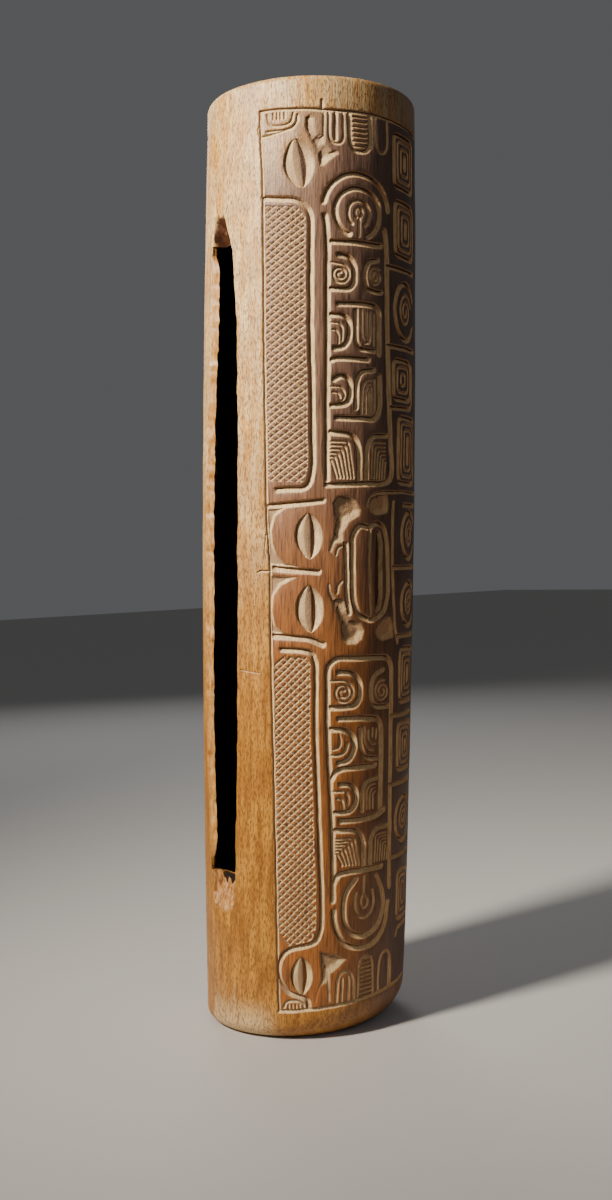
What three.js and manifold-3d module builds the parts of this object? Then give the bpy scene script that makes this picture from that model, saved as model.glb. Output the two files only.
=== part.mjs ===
// A slit drum cut from one log: hollowed through a long slit, with a carved panel on each flank.
// Millimetres, +Z up, the slit facing -Y. The log is shaped and carved along its own axis and then
// stood on its foot, which is cut a little off square, so that the log leans.
import * as THREE from "three";
import { mergeVertices } from "three/addons/utils/BufferGeometryUtils.js";
import Module from "manifold-3d";

const wasm = await Module();
wasm.setup();

const degrees = THREE.MathUtils.degToRad;

// The log
const height = 600;
const footRadius = 65.5;
const headRadius = 68.4;
const bellyBulge = 3.5; // added to the radius half way up
const nominalRadius = 70; // distances around the log are measured on this radius
const facets = 32;
const rows = 4;
const lean = degrees(2.5);
const leanAround = degrees(144); // from the slit, round to where the axis leans
const headSlope = 0.021; // rise of the top cut towards the same side
const footRound = { least: 8, most: 23 }; // worn edge of the foot: away from the lean, and under it
const headRound = 4;
const rimBand = 1.5; // the profile's rims are drawn 1 mm round and then grown to their size

// The hollow
const hollow = { bottom: 62, top: 536, radius: 57, end: 34, towardsSlit: 4, facets: 16 };

// The slit, seen square on, and the depth at which its sloping ends meet the hollow
const slitOutline = [
  [75, -9, 11], [84, -13, 14], [110, -15, 15], [150, -19, 16.5], [200, -21.5, 17.8],
  [335, -21.5, 17.8], [400, -18, 17.2], [450, -14, 15.6], [497, -12.4, 11.2], [519, -11, 3], [522, -9, 0],
]; // height, left edge, right edge
const slitEnds = { bottom: 75, throughBottom: 108, throughTop: 497, top: 522, depth: 11 };
const slitOverrun = 6; // the outline runs on below the lowest height, past the sloping end
const slitReach = { out: 12, in: 45, across: 60 }; // the cutter's reach from the nominal radius

// The carving
const panelZero = 66; // the panel's zero line, measured round from the middle of the slit
const lift = 1.3; // how far a cutter stands out of the wood
const longStep = 14; // longest straight run of a cutter around the log
const highStep = 70; // and along it
const gougeCut = { depth: 1.9, above: 1.5, below: 3.1, left: 2.7, right: 2.3 };
const edgeCut = { depth: 1.2, above: 0.8, below: 2.2, left: 1.2, right: 1.2 };

const mix = (a, b, t) => a + (b - a) * t;

// Radius of the bare log at a height along its axis.
function logRadius(z) {
  const t = THREE.MathUtils.clamp(z / height, 0, 1);
  return mix(footRadius, headRadius, t) + bellyBulge * 4 * t * (1 - t);
}

// A place on a panel, s round from its zero line and z up the log, at a depth in the wood.
// The panel on the +X flank has side 1, and its mirror image on the other flank has side -1.
function wrap(s, z, depth, side = 1) {
  const around = (s + panelZero) / nominalRadius;
  const r = logRadius(z) - depth;
  return new THREE.Vector3(side * r * Math.sin(around), -r * Math.cos(around), z);
}

// A closed surface as a solid, turned right side out.
function makeSolid(positions, triangles) {
  const body = (triVerts) =>
    new wasm.Manifold(new wasm.Mesh({ numProp: 3, vertProperties: positions, triVerts }));
  const made = body(triangles);
  if (made.volume() >= 0) return made;
  const turned = triangles.slice();
  for (let i = 0; i < turned.length; i += 3) [turned[i], turned[i + 1]] = [turned[i + 1], turned[i]];
  return body(turned);
}

function solid(geometry) {
  const bare = geometry.clone();
  bare.deleteAttribute("normal");
  bare.deleteAttribute("uv");
  const merged = mergeVertices(bare, 1e-4);
  return makeSolid(merged.attributes.position.array, new Uint32Array(merged.index.array));
}

// Moves every vertex of a geometry to the place that a function gives.
function reshape(geometry, move) {
  const position = geometry.getAttribute("position");
  const point = new THREE.Vector3();
  for (let i = 0; i < position.count; i++) {
    point.fromBufferAttribute(position, i);
    const moved = move(point);
    position.setXYZ(i, moved.x, moved.y, moved.z);
  }
  return geometry;
}

// A profile of [radius, height] pairs turned about the log's axis.
function turned(profile, sides) {
  const points = profile.map(([r, z]) => new THREE.Vector2(r, z));
  return new THREE.LatheGeometry(points, sides).rotateX(Math.PI / 2);
}

// Steps of a quarter circle, from 0 to a right angle.
function quarter(steps, place) {
  return Array.from({ length: steps + 1 }, (_, i) => place((i / steps) * (Math.PI / 2)));
}

// The closed skin of rings that all have the same number of points.
function loft(rings) {
  const sides = rings[0].length;
  const triangles = [];
  const quad = (a, b, c, d) => triangles.push(a, b, c, a, c, d);
  for (let i = 0; i + 1 < rings.length; i++) {
    for (let k = 0; k < sides; k++) {
      const next = (k + 1) % sides;
      quad(i * sides + k, i * sides + next, (i + 1) * sides + next, (i + 1) * sides + k);
    }
  }
  const last = (rings.length - 1) * sides;
  for (let k = 1; k + 1 < sides; k++) {
    triangles.push(0, k + 1, k, last, last + k, last + k + 1);
  }
  const positions = new Float32Array(rings.flat().flatMap((p) => [p.x, p.y, p.z]));
  return makeSolid(positions, new Uint32Array(triangles));
}

// The bare log, its foot and head rounded at the rim and sawn across at a slant.
function logBlank() {
  const foot = quarter(3, (a) => [footRadius - 1 + Math.sin(a), 1 - Math.cos(a)]);
  const side = Array.from({ length: rows - 1 }, (_, i) => (height * (i + 1)) / rows);
  const head = quarter(2, (a) => [headRadius - 1 + Math.cos(a), height - 1 + Math.sin(a)]);
  const profile = [[0, 0], ...foot, ...side.map((z) => [logRadius(z), z]), ...head, [0, height]];
  const towards = new THREE.Vector2(Math.sin(leanAround), -Math.cos(leanAround));
  return reshape(turned(profile, facets), (p) => {
    const r = Math.hypot(p.x, p.y);
    if (r < 1e-6) return p;
    const facing = (p.x * towards.x + p.y * towards.y) / r;
    const round = mix(footRound.least, footRound.most, (1 + facing) / 2);
    let radius = r;
    let z = p.z;
    if (z < rimBand) {
      radius = footRadius - round * (footRadius - r);
      z *= round;
      radius += logRadius(z) - footRadius;
    } else if (z > height - rimBand) {
      radius = headRadius - headRound * (headRadius - r);
      z = height - (height - z) * headRound;
    }
    const slope = mix(Math.tan(lean), headSlope, THREE.MathUtils.smoothstep(z, 40, 560));
    return new THREE.Vector3((p.x * radius) / r, (p.y * radius) / r, z + facing * radius * slope);
  });
}

// The round chamber down the middle, a little nearer to the slit than to the back.
function hollowCore() {
  const { bottom, top, radius, end, towardsSlit } = hollow;
  const low = quarter(3, (a) => [radius * Math.sin(a), bottom + end * (1 - Math.cos(a))]);
  const high = quarter(3, (a) => [radius * Math.cos(a), top - end * (1 - Math.sin(a))]);
  return turned([...low, ...high], hollow.facets).translate(0, -towardsSlit, 0);
}

// The slit's outline cut straight in, and the sloping ends that bound it.
function slitCutter() {
  const { bottom, throughBottom, throughTop, top, depth } = slitEnds;
  const outside = -nominalRadius - slitReach.out;
  const inside = -nominalRadius + slitReach.in;
  // where the sloping floor of each end reaches at a distance y from the axis
  const floorAt = (y) => bottom + ((y + nominalRadius) / depth) * (throughBottom - bottom);
  const roofAt = (y) => top - ((y + nominalRadius) / depth) * (top - throughTop);
  const face = new THREE.Shape();
  const [, lowestLeft, lowestRight] = slitOutline[0];
  face.moveTo(lowestLeft, slitOutline[0][0] - slitOverrun);
  slitOutline.slice(1).forEach(([z, left]) => face.lineTo(left, z));
  slitOutline.slice(1).reverse().forEach(([z, , right]) => face.lineTo(right, z));
  face.lineTo(lowestRight, slitOutline[0][0] - slitOverrun);
  face.closePath();
  const straight = new THREE.ExtrudeGeometry(face, { depth: inside - outside, bevelEnabled: false });
  straight.rotateX(Math.PI / 2).translate(0, inside, 0);
  const side = new THREE.Shape();
  side.moveTo(outside, floorAt(outside));
  side.lineTo(inside, floorAt(inside));
  side.lineTo(inside, roofAt(inside));
  side.lineTo(outside, roofAt(outside));
  side.closePath();
  const ends = new THREE.ExtrudeGeometry(side, { depth: slitReach.across, bevelEnabled: false });
  ends.rotateX(Math.PI / 2).rotateZ(Math.PI / 2).translate(-slitReach.across / 2, 0, 0);
  return [straight, ends];
}

// A line through points, with its corners rounded.
function bend(points, radius = 0, steps = 1) {
  const corners = points.map(([s, z]) => new THREE.Vector2(s, z));
  const last = corners.length - 1;
  const out = [corners[0]];
  for (let i = 1; i < last; i++) {
    const [before, corner, after] = [corners[i - 1], corners[i], corners[i + 1]];
    const reach = Math.min(radius, corner.distanceTo(before) / 2, corner.distanceTo(after) / 2);
    if (reach < 0.5) {
      out.push(corner);
      continue;
    }
    const from = corner.clone().add(before.clone().sub(corner).setLength(reach));
    const to = corner.clone().add(after.clone().sub(corner).setLength(reach));
    const curve = new THREE.QuadraticBezierCurve(from, corner, to);
    out.push(...curve.getPoints(steps));
  }
  out.push(corners[last]);
  return out;
}

function ellipse(s, z, radiusS, radiusZ, start, end, steps) {
  return Array.from({ length: steps + 1 }, (_, i) => {
    const a = degrees(mix(start, end, i / steps));
    return [s + radiusS * Math.cos(a), z + radiusZ * Math.sin(a)];
  });
}

function coilLine(s, z, outer, inner, start, turns, steps) {
  return Array.from({ length: steps + 1 }, (_, i) => {
    const a = degrees(start + 360 * turns * (i / steps));
    const r = mix(outer, inner, i / steps);
    return [s + r * Math.cos(a), z + r * Math.sin(a)];
  });
}

// Adds points so that no straight run is too long for the curve of the log.
function refine(line) {
  const out = [line[0]];
  for (let i = 1; i < line.length; i++) {
    const [a, b] = [line[i - 1], line[i]];
    const steps = Math.max(Math.abs(b.x - a.x) / longStep, Math.abs(b.y - a.y) / highStep);
    const parts = Math.max(Math.ceil(steps), 1);
    for (let k = 1; k <= parts; k++) out.push(a.clone().lerp(b, k / parts));
  }
  return out.filter((p, i) => i === 0 || p.distanceTo(out[i - 1]) > 0.4);
}

// Half the width of a cut on the side that a direction points to.
function halfWidth(cut, direction) {
  const across = direction.x < 0 ? cut.left : cut.right;
  const up = direction.y > 0 ? cut.above : cut.below;
  return Math.hypot(direction.x * across, direction.y * up);
}

// A V-shaped cut along a line.
function groove(line, cut, width = 1, deep = 1, side = 1) {
  const points = refine(line);
  const depth = cut.depth * deep;
  const rings = points.map((point, i) => {
    const before = points[Math.max(i - 1, 0)];
    const after = points[Math.min(i + 1, points.length - 1)];
    const into = point.clone().sub(before).normalize();
    const out = after.clone().sub(point).normalize();
    const along = into.clone().add(out).normalize();
    const normal = new THREE.Vector2(-along.y, along.x);
    const own = i ? into : out;
    const miter = Math.min(1 / Math.max(Math.abs(own.dot(along)), 0.6), 1.5);
    const spread = (sign) => {
      const outward = normal.clone().multiplyScalar(sign);
      const reach = halfWidth(cut, outward) * width * miter * (1 + lift / depth);
      const place = point.clone().addScaledVector(outward, reach);
      return wrap(place.x, place.y, -lift, side);
    };
    return [spread(-1), wrap(point.x, point.y, depth, side), spread(1)];
  });
  return loft(rings);
}

// A flat-floored hollow inside a closed outline.
function hollowOut(outline, depth, wall = 0.6) {
  const shape = new THREE.Shape(outline.map(([s, z]) => new THREE.Vector2(s, z)));
  const block = new THREE.ExtrudeGeometry(shape, {
    depth: lift, bevelThickness: depth, bevelSize: wall, bevelOffset: -wall, bevelSegments: 1,
  });
  return solid(reshape(block, (p) => wrap(p.x, p.y, -p.z)));
}

// An eye: sunk along its left edge, rounded, with a crease down the middle and a rising right half.
function eyeCutter({ s, z, width, tall, tilt }) {
  const stations = 6;
  const origin = new THREE.Vector2();
  const across = [[-1, 0], [-0.82, 1.9], [-0.4, 0.8], [0.12, 2.3], [1, 0]];
  const rings = Array.from({ length: stations }, (_, i) => {
    const v = mix(-0.97, 0.97, i / (stations - 1));
    const half = (width / 2) * Math.pow(1 - v * v, 0.7);
    const fade = Math.pow(1 - v * v, 0.35);
    const at = (u, depth) => {
      const place = new THREE.Vector2(u * half, (v * tall) / 2).rotateAround(origin, -degrees(tilt));
      return wrap(s + place.x, z + place.y, depth);
    };
    return [...across.map(([u, depth]) => at(u, depth * fade)), at(1, -lift), at(-1, -lift)];
  });
  return loft(rings);
}

const gouge = (points, radius, width, deep) => groove(bend(points, radius), gougeCut, width, deep);
const edge = (points) => groove(bend(points), edgeCut);

// A square frame with a square pit inside it.
function square(left, right, bottom, top) {
  const middle = (left + right) / 2;
  const gap = 6;
  const corners = (inset) => [
    [right - inset, top - inset], [right - inset, bottom + inset],
    [left + inset, bottom + inset], [left + inset, top - inset],
  ];
  return [
    gouge([[middle - 0.6, top], ...corners(0), [middle + 0.6, top]], 0, 0.85),
    hollowOut(corners(gap), 1.2, 1.2),
  ];
}

// A ring open at the right, round a coil of one turn.
function coil(s, z, radiusS, radiusZ) {
  return [
    gouge(ellipse(s, z, radiusS, radiusZ, 30, 330, 7), 0, 0.9),
    gouge(coilLine(s, z, radiusS * 0.55, radiusS * 0.25, 30, 1.1, 6), 0, 0.7, 0.8),
  ];
}

// Two quarter arches back to back.
function archPair(s0, s1, s2, s3, top, bottom) {
  return [
    gouge([[s0, top], [s1 - 5, top - 0.6], [s1, top - 9], [s1, bottom]], 10),
    gouge([[s3, top - 0.6], [s2 + 5, top - 0.8], [s2, top - 8], [s2, bottom]], 10, 0.85),
  ];
}

const eyes = [
  { s: -7.6, z: 545.5, width: 20.5, tall: 31, tilt: -9 },
  { s: 0.4, z: 317.3, width: 18, tall: 28.5, tilt: -3 },
  { s: 1.2, z: 272.3, width: 18.5, tall: 29.5, tilt: -3 },
  { s: -2.4, z: 42.3, width: 15.5, tall: 24.5, tilt: -2 },
];

function borders() {
  return [
    edge([[-34.3, 579.3], [12, 578.6], [101, 579]]),
    edge([[-34.3, 579.3], [-28.7, 400], [-24.3, 297], [-18, 19.3]]),
    edge([[-18, 19.3], [40, 25], [103, 30.5]]),
    edge([[101, 579], [100.4, 400], [103, 30.5]]),
  ];
}

function topFace() {
  const noseSide = [
    [-3.6, 573.5], [-4, 567], [-0.5, 558], [5.4, 543], [12, 547], [18.2, 551.6], [17, 554], [10, 557.5],
    [9.9, 577.5], [6.9, 577.5], [6.8, 563], [4.6, 563.4], [-0.4, 575.5],
  ];
  return [
    gouge([[-28.4, 577], [-26, 569.4], [-14, 569.4], [-11, 577]], 0, 0.5, 0.6),
    gouge([[-33, 563.6], [-12, 567], [-8.6, 575]], 0, 0.7, 0.6),
    hollowOut(noseSide, 1.5),
    gouge([[15.8, 577.5], [16, 560]], 0, 0.9),
    gouge([[24.6, 577.5], [26, 557], [38.6, 557], [39.4, 577.5]], 0, 0.5, 0.7),
    ...[0, 1, 2].map((k) => gouge([[27.6, 573.6 - 6 * k], [36, 573.8 - 6 * k]], 0, 0.5, 0.6)),
    gouge([[43.2, 577.5], [45, 557.6], [53, 557.6], [54, 577.5]], 0, 0.45, 0.5),
  ];
}

function hatchFrames() {
  const upper = [[-30.5, 526], [-7, 524.4], [-0.2, 516], [0.1, 450], [2.3, 357], [-1, 346.8], [-20, 346.3]];
  const lower = [
    [-16.6, 247.4], [2.6, 246.6], [4.8, 238], [4.8, 200], [9.6, 100], [10.4, 70], [4, 62.6],
    [-12, 59.4], [-18.4, 50], [-18.4, 40], [-12, 31.8], [2, 26],
  ];
  return [gouge(upper, 8), gouge([[-25.8, 336.3], [8.5, 339.6]]), gouge(lower, 8, 0.9)];
}

function middleColumnUpper() {
  return [
    gouge([[8.4, 514.5], [10.2, 500], [10.9, 352]]),
    gouge([[51.4, 509.5], [55.3, 415], [59.6, 362], [58, 353], [30, 350.6], [11, 349.4]]),
    gouge(ellipse(31, 519, 23.5, 22.6, 170, 8, 8)),
    gouge(ellipse(31, 517.6, 16, 15, 246, -66, 10), 0, 0.95),
    gouge(ellipse(31, 517, 7.6, 8.3, 235, -55, 7), 0, 0.62, 0.7),
    gouge([[31, 518], [31.2, 502.5]], 0, 0.3, 0.4),
    gouge([[13, 498.8], [48, 499.2]]),
    gouge([[18, 491], [25, 490], [28.3, 484], [28.3, 474], [25, 470.4], [12.8, 470.1]]),
    gouge(coilLine(18.8, 478.6, 6, 2.6, 100, -1.1, 7), 0, 0.4, 0.5),
    gouge([[45.5, 490], [37.6, 488.4], [34.6, 480], [37, 471.3], [48.5, 470.2]], 0, 0.85),
    gouge(coilLine(44.2, 479, 5.2, 2.2, 80, 1.1, 7), 0, 0.4, 0.5),
    gouge([[17.8, 461.2], [43, 461.8], [46.4, 458], [46.6, 432]]),
    gouge([[12.8, 454.3], [22, 454.3], [25.6, 444], [21.4, 434.2], [15.5, 433.6]]),
    gouge([[29.4, 457.5], [29.3, 438], [32, 433.8], [44, 433.6]], 0, 0.8),
    gouge([[36.6, 457.5], [37, 440]], 0, 0.5, 0.6),
    gouge([[13.5, 427], [38, 428]]),
    gouge([[15.5, 415], [21, 417], [26.2, 407], [21.4, 398.7], [14, 398.4]]),
    gouge([[29.6, 397.5], [29.8, 414], [33.5, 420.5], [42.5, 421.8]], 0, 0.85),
    gouge([[38.6, 394.4], [38.8, 412]], 0, 0.5, 0.6),
    gouge([[47.2, 418], [48.2, 399], [44.5, 391.4], [17.4, 391]]),
    ...archPair(12.8, 32, 37.3, 53.6, 382, 353),
  ];
}

function middleFace() {
  const upperLobe = [
    [12, 308], [16.3, 326], [14.6, 338], [18, 342.2], [25, 342.8], [31, 340], [34.3, 334],
    [33, 329.5], [26, 325.5], [22.8, 319.5], [22.6, 312.6], [17.4, 312.2], [14.4, 306],
  ];
  const lowerLobe = [
    [11.8, 288], [12.8, 280], [20.4, 262], [21.4, 253], [25, 249.2], [31.5, 249.4], [36.4, 253],
    [38, 258.6], [35.4, 263.8], [29.6, 266.4], [24.8, 278.4], [18, 279], [15, 283], [14.2, 288.4],
  ];
  const throat = [[45.6, 322], [49.5, 321], [51.8, 306], [51.8, 280], [50, 271], [45.8, 269], [44.6, 290]];
  const upperCheek = [[38.8, 337], [41, 342.2], [56, 344.4], [57.6, 338], [56.4, 331.4], [44, 330]];
  const lowerCheek = [[45.2, 258], [47.4, 263], [60, 267], [63.6, 262], [64.6, 252.6], [52, 250.6]];
  return [
    gouge([[-21.5, 298], [-12, 297], [6, 295.8]]),
    gouge([[-21.8, 256], [1, 254.4], [9.5, 250.6]]),
    hollowOut(upperLobe, 1.6),
    hollowOut(lowerLobe, 1.6),
    gouge([[23.3, 313], [24.6, 279], [26.5, 270]], 0, 0.85),
    gouge([[38.4, 324], [31, 324], [28, 316], [28.4, 278], [31.6, 269.6], [40.5, 266.2]]),
    gouge([[40.4, 324], [46, 327], [53.6, 322], [56.2, 300], [56.6, 276], [51, 268], [42.2, 265.6]], 0, 0.85),
    gouge([[40.4, 323], [42, 268.5]], 0, 0.45, 0.8),
    hollowOut(throat, 2.2),
    gouge([[38.6, 337], [41, 343.6], [50, 346], [101, 346.6]], 0, 0.6, 0.8),
    hollowOut(upperCheek, 1.1),
    hollowOut(lowerCheek, 1.1),
    gouge([[61.4, 340], [60.4, 320], [62.4, 280], [68, 250.6]], 0, 0.7),
  ];
}

function middleColumnLower() {
  return [
    gouge([[64, 94], [61.4, 236], [57, 242], [18, 242.4], [12, 237], [12.4, 200], [17.4, 110], [17.4, 90]]),
    gouge([[20, 233.4], [30, 233], [34.4, 226], [34.6, 217], [30.5, 211.6], [15, 211.6]]),
    gouge(coilLine(23, 220.2, 6.6, 2.8, 95, -1.1, 7), 0, 0.4, 0.5),
    gouge([[53, 233.8], [45, 230.6], [41.8, 221], [44.6, 212], [58.6, 210.4]], 0, 0.85),
    gouge(coilLine(52.6, 220, 6.2, 2.4, 75, 1.1, 7), 0, 0.4, 0.5),
    gouge([[20.4, 204.6], [48.4, 203.8], [51.8, 199], [52.8, 180], [52.4, 146]]),
    gouge([[15, 198], [25, 197.6], [31, 191], [31, 184], [27.5, 178], [20.6, 176.8]]),
    gouge([[34.9, 197.4], [34.9, 187], [38.4, 179.6], [51, 178.2]], 0, 0.75),
    gouge([[43, 197], [43.6, 188]], 0, 0.5, 0.6),
    gouge([[16, 166.6], [19.6, 172.4], [47, 174]]),
    gouge([[22, 163.2], [29, 163], [33, 157], [33, 151], [29, 145.4], [18.6, 145.4]], 0, 0.9),
    gouge([[37, 145.6], [37, 158], [41, 164.6], [52, 166]], 0, 0.75),
    gouge([[44.4, 146.4], [44.6, 158]], 0, 0.5, 0.6),
    gouge([[22.4, 140.2], [49, 141.2], [56, 144.6]]),
    ...archPair(18.8, 39, 44.6, 60.4, 134.6, 111),
    gouge([[18.2, 101], [22, 107], [55, 108.4]]),
    gouge(ellipse(40.2, 82, 22.4, 24.6, 178, 362, 7)),
    gouge(ellipse(41.2, 84.6, 16.8, 19.6, 118, 424, 9), 0, 0.95),
    gouge(ellipse(40.8, 85.8, 8.3, 9, 130, 412, 6), 0, 0.6, 0.7),
    gouge([[40.4, 103.4], [40.4, 84]], 0, 0.35, 0.5),
  ];
}

function bottomFace() {
  const noseSide = [
    [8.8, 58], [20, 55.8], [29.3, 51.5], [17.4, 42.5], [18.2, 24.4], [15, 24.2], [14.4, 37], [10.6, 46],
  ];
  return [
    gouge([[-14.4, 21.6], [-12, 26], [-3, 26], [-0.8, 22.4]], 0, 0.45, 0.5),
    hollowOut(noseSide, 1.2),
    gouge([[5.8, 24.4], [12, 38.4]], 0, 0.6, 0.7),
    gouge([[21.2, 25], [22.4, 43], [32, 43], [33.6, 26]], 0, 0.45, 0.5),
    gouge([[37, 27.4], [38.4, 50.4], [48.4, 50.4], [50, 28.4]], 0, 0.45, 0.5),
    ...[0, 1, 2].map((k) => gouge([[39.4, 33 + 5.4 * k], [47.4, 33.4 + 5.4 * k]], 0, 0.5, 0.6)),
    gouge([[55, 28], [56.6, 50.6], [67.6, 50.6], [69, 29.4]], 0, 0.45, 0.5),
  ];
}

// Squares and coils in turn up the far edge, with short bars between them.
function sideColumn() {
  const bars = [
    [54.6, 487.6, 90], [55.4, 438.2, 92], [63, 298.4, 98], [69, 254.6, 98], [63.4, 203.8, 96],
    [63.4, 159.4, 94], [67, 112, 98], [75, 62, 96],
  ];
  return [
    ...square(61, 88, 539, 572),
    ...square(61.8, 88.6, 496, 530),
    ...coil(75.6, 461.8, 14, 18),
    ...square(60.4, 83.4, 405.5, 430),
    ...square(66.4, 93, 352.6, 394.4),
    ...coil(84.6, 319.6, 12.6, 15),
    ...coil(85.4, 275, 13, 14),
    ...square(71.6, 98, 212, 246),
    ...square(70.6, 96.4, 168, 198),
    ...coil(83.8, 135.4, 14, 14.6),
    ...square(75, 98.6, 70, 101),
    ...bars.map(([from, z, to]) => gouge([[from, z], [to, z + 0.4]], 0, 0.85)),
  ];
}

// The plainer panel of the other flank: its borders, two framed fields and a ladder of bars.
function plainPanel() {
  const cut = (points, shape = gougeCut, width = 1) => groove(bend(points), shape, width, 1, -1);
  const rungs = [498.8, 428, 350.6, 242.2, 173.6, 108];
  return [
    cut([[-34.3, 579.3], [62, 579]], edgeCut),
    cut([[-34.3, 579.3], [-24.3, 297], [-18, 19.3]], edgeCut),
    cut([[-18, 19.3], [64, 27]], edgeCut),
    cut([[-30.5, 526], [-4, 524], [0.1, 516], [2.3, 352], [-20, 346.3]]),
    cut([[-16.6, 247.4], [4.8, 244], [4.8, 200], [10.4, 66], [-12, 60]]),
    ...rungs.map((z, i) => cut([[i % 2 ? 16 : 12, z], [i % 2 ? 54 : 50, z + 0.4]])),
  ];
}

function geometryOf(made) {
  const mesh = made.getMesh();
  const geometry = new THREE.BufferGeometry();
  geometry.setAttribute("position", new THREE.BufferAttribute(mesh.vertProperties, 3));
  geometry.setIndex(new THREE.BufferAttribute(mesh.triVerts, 1));
  geometry.computeVertexNormals();
  return geometry;
}

const [straight, ends] = slitCutter().map(solid);
const cuts = [
  solid(hollowCore()),
  straight.intersect(ends),
  ...borders(),
  ...topFace(),
  ...hatchFrames(),
  ...middleColumnUpper(),
  ...middleFace(),
  ...middleColumnLower(),
  ...bottomFace(),
  ...sideColumn(),
  ...eyes.map(eyeCutter),
  ...plainPanel(),
];
const carved = cuts.reduce((left, cut) => left.subtract(cut), solid(logBlank()));

const wood = new THREE.MeshStandardMaterial({ color: 0x9a7148, roughness: 0.6, metalness: 0 });
const drum = new THREE.Mesh(geometryOf(carved), wood);
drum.name = "drum";
const towards = new THREE.Vector3(Math.sin(leanAround), -Math.cos(leanAround), 0);
const part = new THREE.Group();
part.quaternion.setFromAxisAngle(new THREE.Vector3(0, 0, 1).cross(towards).normalize(), lean);
part.add(drum);
export default part;
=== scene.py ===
import functools
import math

import bpy
import numpy as np
from mathutils import Matrix, Vector


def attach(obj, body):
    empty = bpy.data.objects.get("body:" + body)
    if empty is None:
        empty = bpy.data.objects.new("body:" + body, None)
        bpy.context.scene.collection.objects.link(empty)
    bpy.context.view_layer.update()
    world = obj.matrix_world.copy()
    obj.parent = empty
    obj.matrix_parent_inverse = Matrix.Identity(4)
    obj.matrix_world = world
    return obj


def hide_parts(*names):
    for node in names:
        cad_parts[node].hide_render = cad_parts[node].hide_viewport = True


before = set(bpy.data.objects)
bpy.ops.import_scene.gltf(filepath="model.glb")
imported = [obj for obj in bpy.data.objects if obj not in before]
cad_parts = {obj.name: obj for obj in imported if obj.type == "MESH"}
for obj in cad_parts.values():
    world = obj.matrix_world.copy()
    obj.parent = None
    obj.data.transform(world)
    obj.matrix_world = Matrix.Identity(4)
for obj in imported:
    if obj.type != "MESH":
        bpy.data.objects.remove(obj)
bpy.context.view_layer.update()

print("frame loaded")

# The drum is shaped in millimetres along the log's own upright axis, and leaned at the end.
# Places on it are given as s, the distance round from a panel's zero line, and z, the height.
log = {
    "height": 600,
    "footRadius": 65.5,
    "headRadius": 68.4,
    "bellyBulge": 3.5,
    "arcRadius": 70,        # distances around the log are measured on this radius
    "panelZero": 66,        # the panel's zero line, measured round from the middle of the slit
    "leanDegrees": 2.5,
    "leanAround": 144,      # degrees from the slit round to where the log leans
    "headSlope": .021,
    "footRound": (8, 23),   # worn edge of the foot, away from the lean and under it
    "headRound": 4,
    "skin": .12,            # everything stays this far inside the bare log
}
turn = 2 * math.pi * log["arcRadius"]
leanAngle = math.radians(log["leanDegrees"])
leanTowards = Vector((math.sin(math.radians(log["leanAround"])), -math.cos(math.radians(log["leanAround"])), 0))
leanMatrix = Matrix.Rotation(leanAngle, 4, Vector((0, 0, 1)).cross(leanTowards))
fineness = 1


def mix(a, b, t):
    return a + (b - a) * t


def smoothStep(low, high, x):
    t = np.clip((x - low) / (high - low), 0, 1)
    return t * t * (3 - 2 * t)


# Smooth seeded unevenness between -1 and 1, with bumps of about the given size.
def ripple(x, y, size, seed):
    count = 128
    table = np.random.default_rng(seed).uniform(-1, 1, (count, count))
    u, v = np.broadcast_arrays(np.asarray(x, float) / size, np.asarray(y, float) / size)
    i, j = np.floor(u).astype(int), np.floor(v).astype(int)
    fu, fv = smoothStep(0, 1, u - i), smoothStep(0, 1, v - j)
    i0, j0, i1, j1 = i % count, j % count, (i + 1) % count, (j + 1) % count
    low = mix(table[i0, j0], table[i1, j0], fu)
    return mix(low, mix(table[i0, j1], table[i1, j1], fu), fv)


def logRadius(z):
    t = np.clip(z / log["height"], 0, 1)
    return mix(log["footRadius"], log["headRadius"], t) + log["bellyBulge"] * 4 * t * (1 - t)


# Depth of each cut, how far it spreads on every side of its crease, and how far left of the drawn line that lies.
chisels = {
    "gouge": {"depth": 2.4, "above": 1.4, "below": 3.2, "left": 2.3, "right": 2.8, "crease": .1},
    "edge": {"depth": 1.8, "above": .9, "below": 2.1, "left": 1, "right": 2.6, "crease": 0},
    "fine": {"depth": 1.2, "above": .75, "below": 1.3, "left": .75, "right": 1.5, "crease": .35},
    "crack": {"depth": 1.1, "above": .5, "below": .6, "left": .5, "right": .6, "crease": 0},
}
fieldLines = {   # crossing V lines that leave rows of raised diamonds
    "upper": {"rise": 4.4, "slopes": (.74, -.7), "spread": .85, "depth": .95},
    "lower": {"rise": 4.5, "slopes": (.95, -.76), "spread": .95, "depth": 1.15},
}


def newPanel(left, right, bottom, top):
    cell = .35 * 1
    s, z = np.meshgrid(np.arange(left, right, cell), np.arange(bottom, top, cell))
    hand = .22   # how far a line wanders under the hand
    return {
        "left": left, "bottom": bottom, "cell": cell,
        "s": s + hand * ripple(s, z, 7, 11), "z": z + hand * ripple(s, z, 7, 12),
        "depth": np.zeros(s.shape),
    }


# The part of a panel within reach of some points, as slices of its maps.
def near(panel, points, reach):
    s, z = np.array(points, float).T
    rows, columns = panel["depth"].shape
    cell = panel["cell"]
    i0 = int(np.clip((s.min() - reach - panel["left"]) / cell, 0, columns))
    i1 = int(np.clip((s.max() + reach - panel["left"]) / cell + 2, 0, columns))
    j0 = int(np.clip((z.min() - reach - panel["bottom"]) / cell, 0, rows))
    j1 = int(np.clip((z.max() + reach - panel["bottom"]) / cell + 2, 0, rows))
    return slice(j0, j1), slice(i0, i1)


def deepen(panel, window, depth):
    np.maximum(panel["depth"][window], depth, out=panel["depth"][window])


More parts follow.
